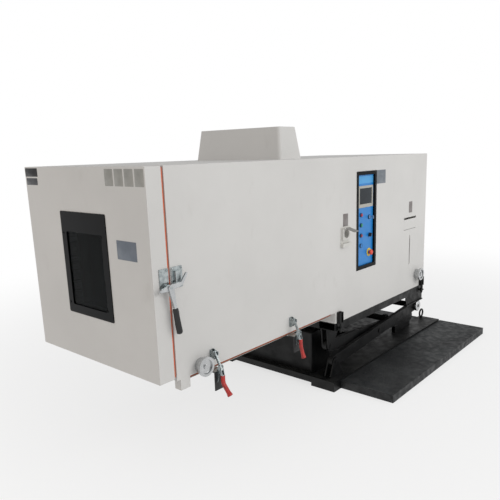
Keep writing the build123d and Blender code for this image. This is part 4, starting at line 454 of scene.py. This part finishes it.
grip_rings = 22
share = np.linspace(0, 1, grip_rings)
# Down the grip x leans in a line and curves with the cube of the share, y stays, and z falls in a line.
grip_path = np.stack([-2.295 + 0.015 * share + 0.0035 * share ** 3, np.full(grip_rings, -0.574),
                      0.931 - 0.1265 * share], 1)
girth = np.interp(share, [0, 0.04, 0.12, 0.3, 0.55, 0.8, 0.93, 0.98, 1],
                  [0.0115, 0.0136, 0.0145, 0.0140, 0.0146, 0.0150, 0.0150, 0.0138, 0.011])
round_grip = swept(grip_path, (0, 1, 0), np.stack([girth, girth], 1), corner=1.0)
build("latch_grip", [round_grip], "latch_lever", black_grip)

lever_steel = finish("latch_steel", "B9BCBD", 0.26, metal=1.0)
held = inside(lever_steel, z=(0.80, 0.9315))
tint(lever_steel, held, colours(lever_steel, clouds(lever_steel, 24), "A4A7A9", "CDCFD0"), "141517")
feed(lever_steel, "Metallic", ramp(lever_steel, held, 0, 1, 1, 0))
roughen(lever_steel, 60, 0.18, 0.38)
dress(lever_steel, "latch_lever")

# Fans, coils and the fan motor
# Bare aluminium: folded fins, pressed end plates and a finned motor housing, grey and slightly oxidised.
aluminium = finish("bare_aluminium", "B9BCBE", 0.42, metal=1.0)
tint(aluminium, clouds(aluminium, 16), "A4A7A9", "C8CBCD")
roughen(aluminium, 34, 0.34, 0.54)
grain(aluminium, 500, 0.15, 0.0002)
dress(aluminium, "fan_motor", "circulation_fan", "evaporator", "condenser")

# Compressors and the condenser's fan
# Welded steel shells in thick black lacquer, and a moulded black fan.
lacquer = finish("black_lacquer", "151618", 0.25)
tint(lacquer, clouds(lacquer, 20), "111214", "232427")
roughen(lacquer, 25, 0.2, 0.4)
grain(lacquer, 300, 0.15, 0.0003)
dress(lacquer, "compressors", "condenser_fan")

# Electrical cabinet and water tank
# A cabinet of light grey coated sheet, and a pale moulded tank.
grey_coat = finish("grey_cabinet_coat", "B4B7B8", 0.45)
tint(grey_coat, clouds(grey_coat, 8), "ABAEB0", "BCBFC0")
roughen(grey_coat, 12, 0.38, 0.52)
grain(grey_coat, 500, 0.1, 0.0002)
dress(grey_coat, "electrical_box")

moulded = finish("pale_moulding", "D9D8D3", 0.4)
tint(moulded, clouds(moulded, 14), "D2D1CC", "DFDEDA")
roughen(moulded, 30, 0.34, 0.48)
grain(moulded, 900, 0.12, 0.0001)
dress(moulded, "water_tank")

# Test socket
# A white moulded box in the control side with a dark round socket in it, and a moulded lid on a pin that
# stands open. The lid is coloured mid grey, darker than the box, as painted shade on the open lid.
socket_middle, socket_radius = (-0.740, 0, 1.0845), 0.0155
box_white = finish("socket_box_white", "D4D3CE", 0.4)
place = node_of(box_white, "ShaderNodeTexCoord").outputs["Object"]
beside = node_of(box_white, "ShaderNodeVectorMath", "SUBTRACT", n0=place, n1=socket_middle).outputs[0]
on_face = node_of(box_white, "ShaderNodeVectorMath", "MULTIPLY", n0=beside, n1=(1, 0, 1)).outputs[0]
distance = node_of(box_white, "ShaderNodeVectorMath", "LENGTH", n0=on_face).outputs["Value"]
around = ramp(box_white, distance, socket_radius - 0.0005, socket_radius + 0.0005)
tint(box_white, around, "1B1C1E", colours(box_white, clouds(box_white, 14), "CFCEC9", "DAD9D5"))
roughen(box_white, 30, 0.34, 0.48)
grain(box_white, 900, 0.12, 0.0001)
dress(box_white, "socket_box")

# Painted shade: the lid's mid grey makes it darker than the white box, for the shade on the open lid.
lid_painted_shade = finish("socket_lid_painted_shade", "8D8C89", 0.45)
tint(lid_painted_shade, clouds(lid_painted_shade, 25), "858481", "979693")
roughen(lid_painted_shade, 40, 0.38, 0.54)
grain(lid_painted_shade, 900, 0.15, 0.0001)
dress(lid_painted_shade, "socket_lid")

# Control plate and touch screen
# A plate in blue enamel, set back in the bezel, with a lighter band at its top, and a screen of dark
# glass in a grey frame. On the glass, cloudy lighter patches are a painted glow of the screen.
blue = finish("blue_enamel", "2E90D8", 0.35)
header = inside(blue, z=(1.410, 1.461), y=(-0.53, -0.5279))
tint(blue, header, colours(blue, clouds(blue, 9), "1A7CCB", "2287D3"), "4FA4E0")
roughen(blue, 20, 0.28, 0.42)
grain(blue, 700, 0.1, 0.0001)
dress(blue, "control_plate")

screen = finish("screen_glass_and_frame", "B9BABA", 0.35, even={"Specular IOR Level": 0.2})
screen_low, screen_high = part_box("touch_screen")
glass_half_width, glass_half_height, glass_rise = 0.0845, 0.0565, 0.004
glass_x = (screen_low[0] + screen_high[0]) / 2
glass_z = (screen_low[2] + screen_high[2]) / 2 + glass_rise
glass = inside(screen, x=(glass_x - glass_half_width, glass_x + glass_half_width),
               z=(glass_z - glass_half_height, glass_z + glass_half_height))
# Painted glow: cloudy lighter patches on the dark glass, for the light of the screen.
painted_screen_glow = ramp(screen, clouds(screen, 7), 0.35, 0.7)
tint(screen, glass, "B4B3AC", colours(screen, painted_screen_glow, "161F26", "1F2A32"))
feed(screen, "Roughness", ramp(screen, glass, 0.0, 1.0, 0.4, 0.12))
grain(screen, 900, 0.08, 0.0001)
dress(screen, "touch_screen")

# Buttons, selector and emergency stop
# Gloss moulded caps: red, green and dark red buttons in the left column, a dark selector, and a red
# mushroom head over a yellow ring. Dark round collars stand round the buttons and both locks.


def moulding(name, colour, lighter):
    """Gloss moulded plastic with a slight unevenness."""
    made = finish(name, colour, 0.28)
    tint(made, clouds(made, 60), colour, lighter)
    roughen(made, 120, 0.22, 0.36)
    grain(made, 1500, 0.08, 0.00005)
    return made


dark_cap = moulding("dark_cap", "22262C", "2C3138")
dress(dark_cap, "selector")
dress(moulding("red_cap", "B3202C", "C22C38"), "stop_button")
dress(moulding("green_cap", "128A5B", "1E9A69"), "start_button")
dress(moulding("dark_red_cap", "8A2230", "97303C"), "reset_button")
dress(moulding("mushroom_red", "E0402F", "E84C3A"), "e_stop")

# Profiles of the collar and of the yellow ring: radius, and height over the control plate.
collar = [(0.0152, -0.001), (0.0159, 0.001), (0.0159, 0.0046), (0.0151, 0.0065), (0.0141, 0.0069),
          (0.0132, 0.0065), (0.0129, 0.0050), (0.0129, -0.001)]
ring = [(0.0302, -0.001), (0.0305, 0.0008), (0.0300, 0.0024), (0.0290, 0.0029), (0.0175, 0.0029),
        (0.0162, 0.0024), (0.0158, 0.0008), (0.0158, -0.001)]
plate_front, left_column, right_column = -0.528, -0.506, -0.390
yellow = moulding("e_stop_yellow", "E5C51E", "EDD038")
yellow_ring = turned((right_column, plate_front, 0.901), out_of_side, ring, sides=48)
build("e_stop_ring", [yellow_ring], "chamber", yellow, loop=True)
collar_places = [(left_column, 1.187), (left_column, 1.113), (left_column, 1.038), (left_column, 0.964),
                 (right_column, 1.163)]
collars = [turned((x, plate_front, z), out_of_side, collar) for x, z in collar_places]
build("button_collars", collars, "chamber", dark_cap, loop=True)

# Plates and signs
# Thin printed foil and aluminium plates, stuck on the door and on the control side. They are left bare.


def flat_plate(centre, right, width, height, thickness=0.0008, radius=0.003):
    """Rings of a thin plate: its rounded outline at the sheet, at the start of its bevel, and drawn in at
    its face; a point is the centre plus right and up times the outline's place, and the rise outwards."""
    right, up = np.array(right, float), np.array((0, 0, 1.0))
    corners, way = outline(width, height, radius)
    drawn_in = np.array([0.0, 0.0, -0.0004])[:, None, None]
    rise = np.array([-0.0002, thickness - 0.0003, thickness])[:, None, None]
    flat = corners + way * (radius + drawn_in)
    return np.array(centre) + flat[..., :1] * right + flat[..., 1:] * up + rise * np.cross(right, up)


def printed_plate(name, colour, worn):
    """Printed foil: an even colour, slightly cloudy, half gloss."""
    made = finish(name, colour, 0.4)
    tint(made, ramp(made, clouds(made, 22), 0.35, 0.7), colour, worn)
    roughen(made, 50, 0.3, 0.5)
    grain(made, 900, 0.1, 0.0001)
    return made


# Each row: piece, the sheet that it is stuck on, finish and slot, and for each of its plates the place along
# the sheet, the place in height, the width and the height.
on_door, on_side = (-2.390, (0, -1, 0)), (-0.540, (1, 0, 0))
label_grey = printed_plate("label_grey", "85807F", "78716F")
for name, sheet, made, slot, plates in (
        ("door_signs", on_door, printed_plate("sign_grey", "A6A6A2", "9A9A96"), "aluminium",
         [(y, 1.549, 0.066, 0.080) for y in (-0.264, -0.342, -0.420, -0.498)]),
        ("door_plate_dark", on_door, printed_plate("dark_plate", "1C1D20", "26272A"), "dark_plastic",
         [(0.470, 1.570, 0.132, 0.046)]),
        ("door_plate_slate", on_door, printed_plate("slate_plate", "4A4C50", "55575B"), "dark_plastic",
         [(0.470, 1.520, 0.118, 0.038)]),
        ("door_plate", on_door, printed_plate("blue_grey_plate", "6B7480", "737C88"), "aluminium",
         [(-0.3595, 1.204, 0.155, 0.094)]),
        ("side_plate", on_side, printed_plate("side_plate_grey", "70777F", "7A8189"), "aluminium",
         [(-0.240, 1.4465, 0.140, 0.099)]),
        ("side_labels", on_side, label_grey, "aluminium",
         [(-0.7325, 1.178, 0.063, 0.086), (0.270, 1.1735, 0.060, 0.091)])):
    level, right = sheet
    rings = [flat_plate((level, along, z) if sheet is on_door else (along, level, z), right, width, height)
             for along, z, width, height in plates]
    build(name, rings, "door" if sheet is on_door else "chamber", made)

# Floor and surround
# A pale floor that turns to white far out and keeps the object's shadow, and an even white surround.
floor_mesh = bpy.data.meshes.new("floor")
floor_reach = 40.0
floor_corners = np.array([(-1, -1, 0), (1, -1, 0), (1, 1, 0), (-1, 1, 0)]) * floor_reach
floor_mesh.from_pydata(floor_corners.tolist(), [], [(0, 1, 2, 3)])
floor = bpy.data.objects.new("floor", floor_mesh)
bpy.context.scene.collection.objects.link(floor)
pale = finish("pale_floor", "E9E9E9", 0.9)
rays = node_of(pale, "ShaderNodeLightPath").outputs
seen = either(pale, either(pale, rays["Is Camera Ray"], rays["Is Glossy Ray"]), rays["Is Transmission Ray"])
place = node_of(pale, "ShaderNodeTexCoord").outputs["Object"]
distance = node_of(pale, "ShaderNodeVectorMath", "LENGTH", n0=place).outputs["Value"]
white_share = times(pale, seen, ramp(pale, distance, 1.5, 5.5, 0.7, 1.0))
white = node_of(pale, "ShaderNodeEmission", Color=(1, 1, 1, 1), Strength=1.0).outputs[0]
painted = pale.node_tree.nodes["Principled BSDF"].outputs[0]
mixed = node_of(pale, "ShaderNodeMixShader", n0=white_share, n1=painted, n2=white).outputs[0]
pale.node_tree.links.new(mixed, pale.node_tree.nodes["Material Output"].inputs["Surface"])
floor_mesh.materials.append(pale)

world = bpy.data.worlds.new("surround")
bpy.context.scene.world = world
world.use_nodes = True
light_on_object = 0.56
rays = node_of(world, "ShaderNodeLightPath").outputs
seen = either(world, rays["Is Camera Ray"], rays["Is Transmission Ray"])
sky = world.node_tree.nodes["Background"]
sky.inputs["Color"].default_value = (1.0, 1.0, 1.0, 1.0)
world.node_tree.links.new(ramp(world, seen, 0.0, 1.0, light_on_object, 1.0), sky.inputs["Strength"])

# Lamps and camera
# One large soft lamp on the control side, and a smaller warm one far out before the door. The camera
# stands where the photograph was taken from.


def put(name, content, axes, place):
    """An object for a lamp or camera: its own x, y and z point along axes, and it stands at place."""
    holder = bpy.data.objects.new(name, content)
    rows = [(*row, where) for row, where in zip(np.stack(axes, 1), place)]
    holder.matrix_world = Matrix([*rows, (0, 0, 0, 1)])
    bpy.context.scene.collection.objects.link(holder)
    return holder


def lamp(name, place, target, width, height, power, colour):
    """A soft rectangular lamp at place, turned to target."""
    light = bpy.data.lights.new(name, "AREA")
    light.shape = "RECTANGLE"
    light.size, light.size_y = width, height
    light.energy = power
    light.color = colour
    away = np.array(place, float) - np.array(target, float)
    away /= np.linalg.norm(away)
    right = np.cross((0, 0, 1), away)
    right /= np.linalg.norm(right)
    put(name, light, (right, np.cross(away, right), away), place)


lamp("control_side_lamp", (0.5, -7.0, 4.0), (-0.7, 0, 0.9), 6.0, 4.0, 200, (1.0, 0.99, 0.97))
lamp("door_side_lamp", (-8.5, 0.5, 2.4), (-2.3, 0, 1.1), 4.0, 3.0, 40, (1.0, 0.78, 0.56))

camera = bpy.data.cameras.new("camera")
camera.sensor_width = 36.0
camera.lens = 39.21
camera.shift_x, camera.shift_y = -0.0485, 0.0388
camera.clip_start, camera.clip_end = 0.05, 200.0
lens_axes = np.array([(0.6335, -0.7733, -0.0260), (0.1798, 0.1144, 0.9770), (-0.7526, -0.6236, 0.2115)])
lens_place = (-3.9113, -2.5284, 1.6490)
bpy.context.scene.camera = put("camera", camera, lens_axes, lens_place)
bpy.context.scene.view_settings.view_transform = "Standard"
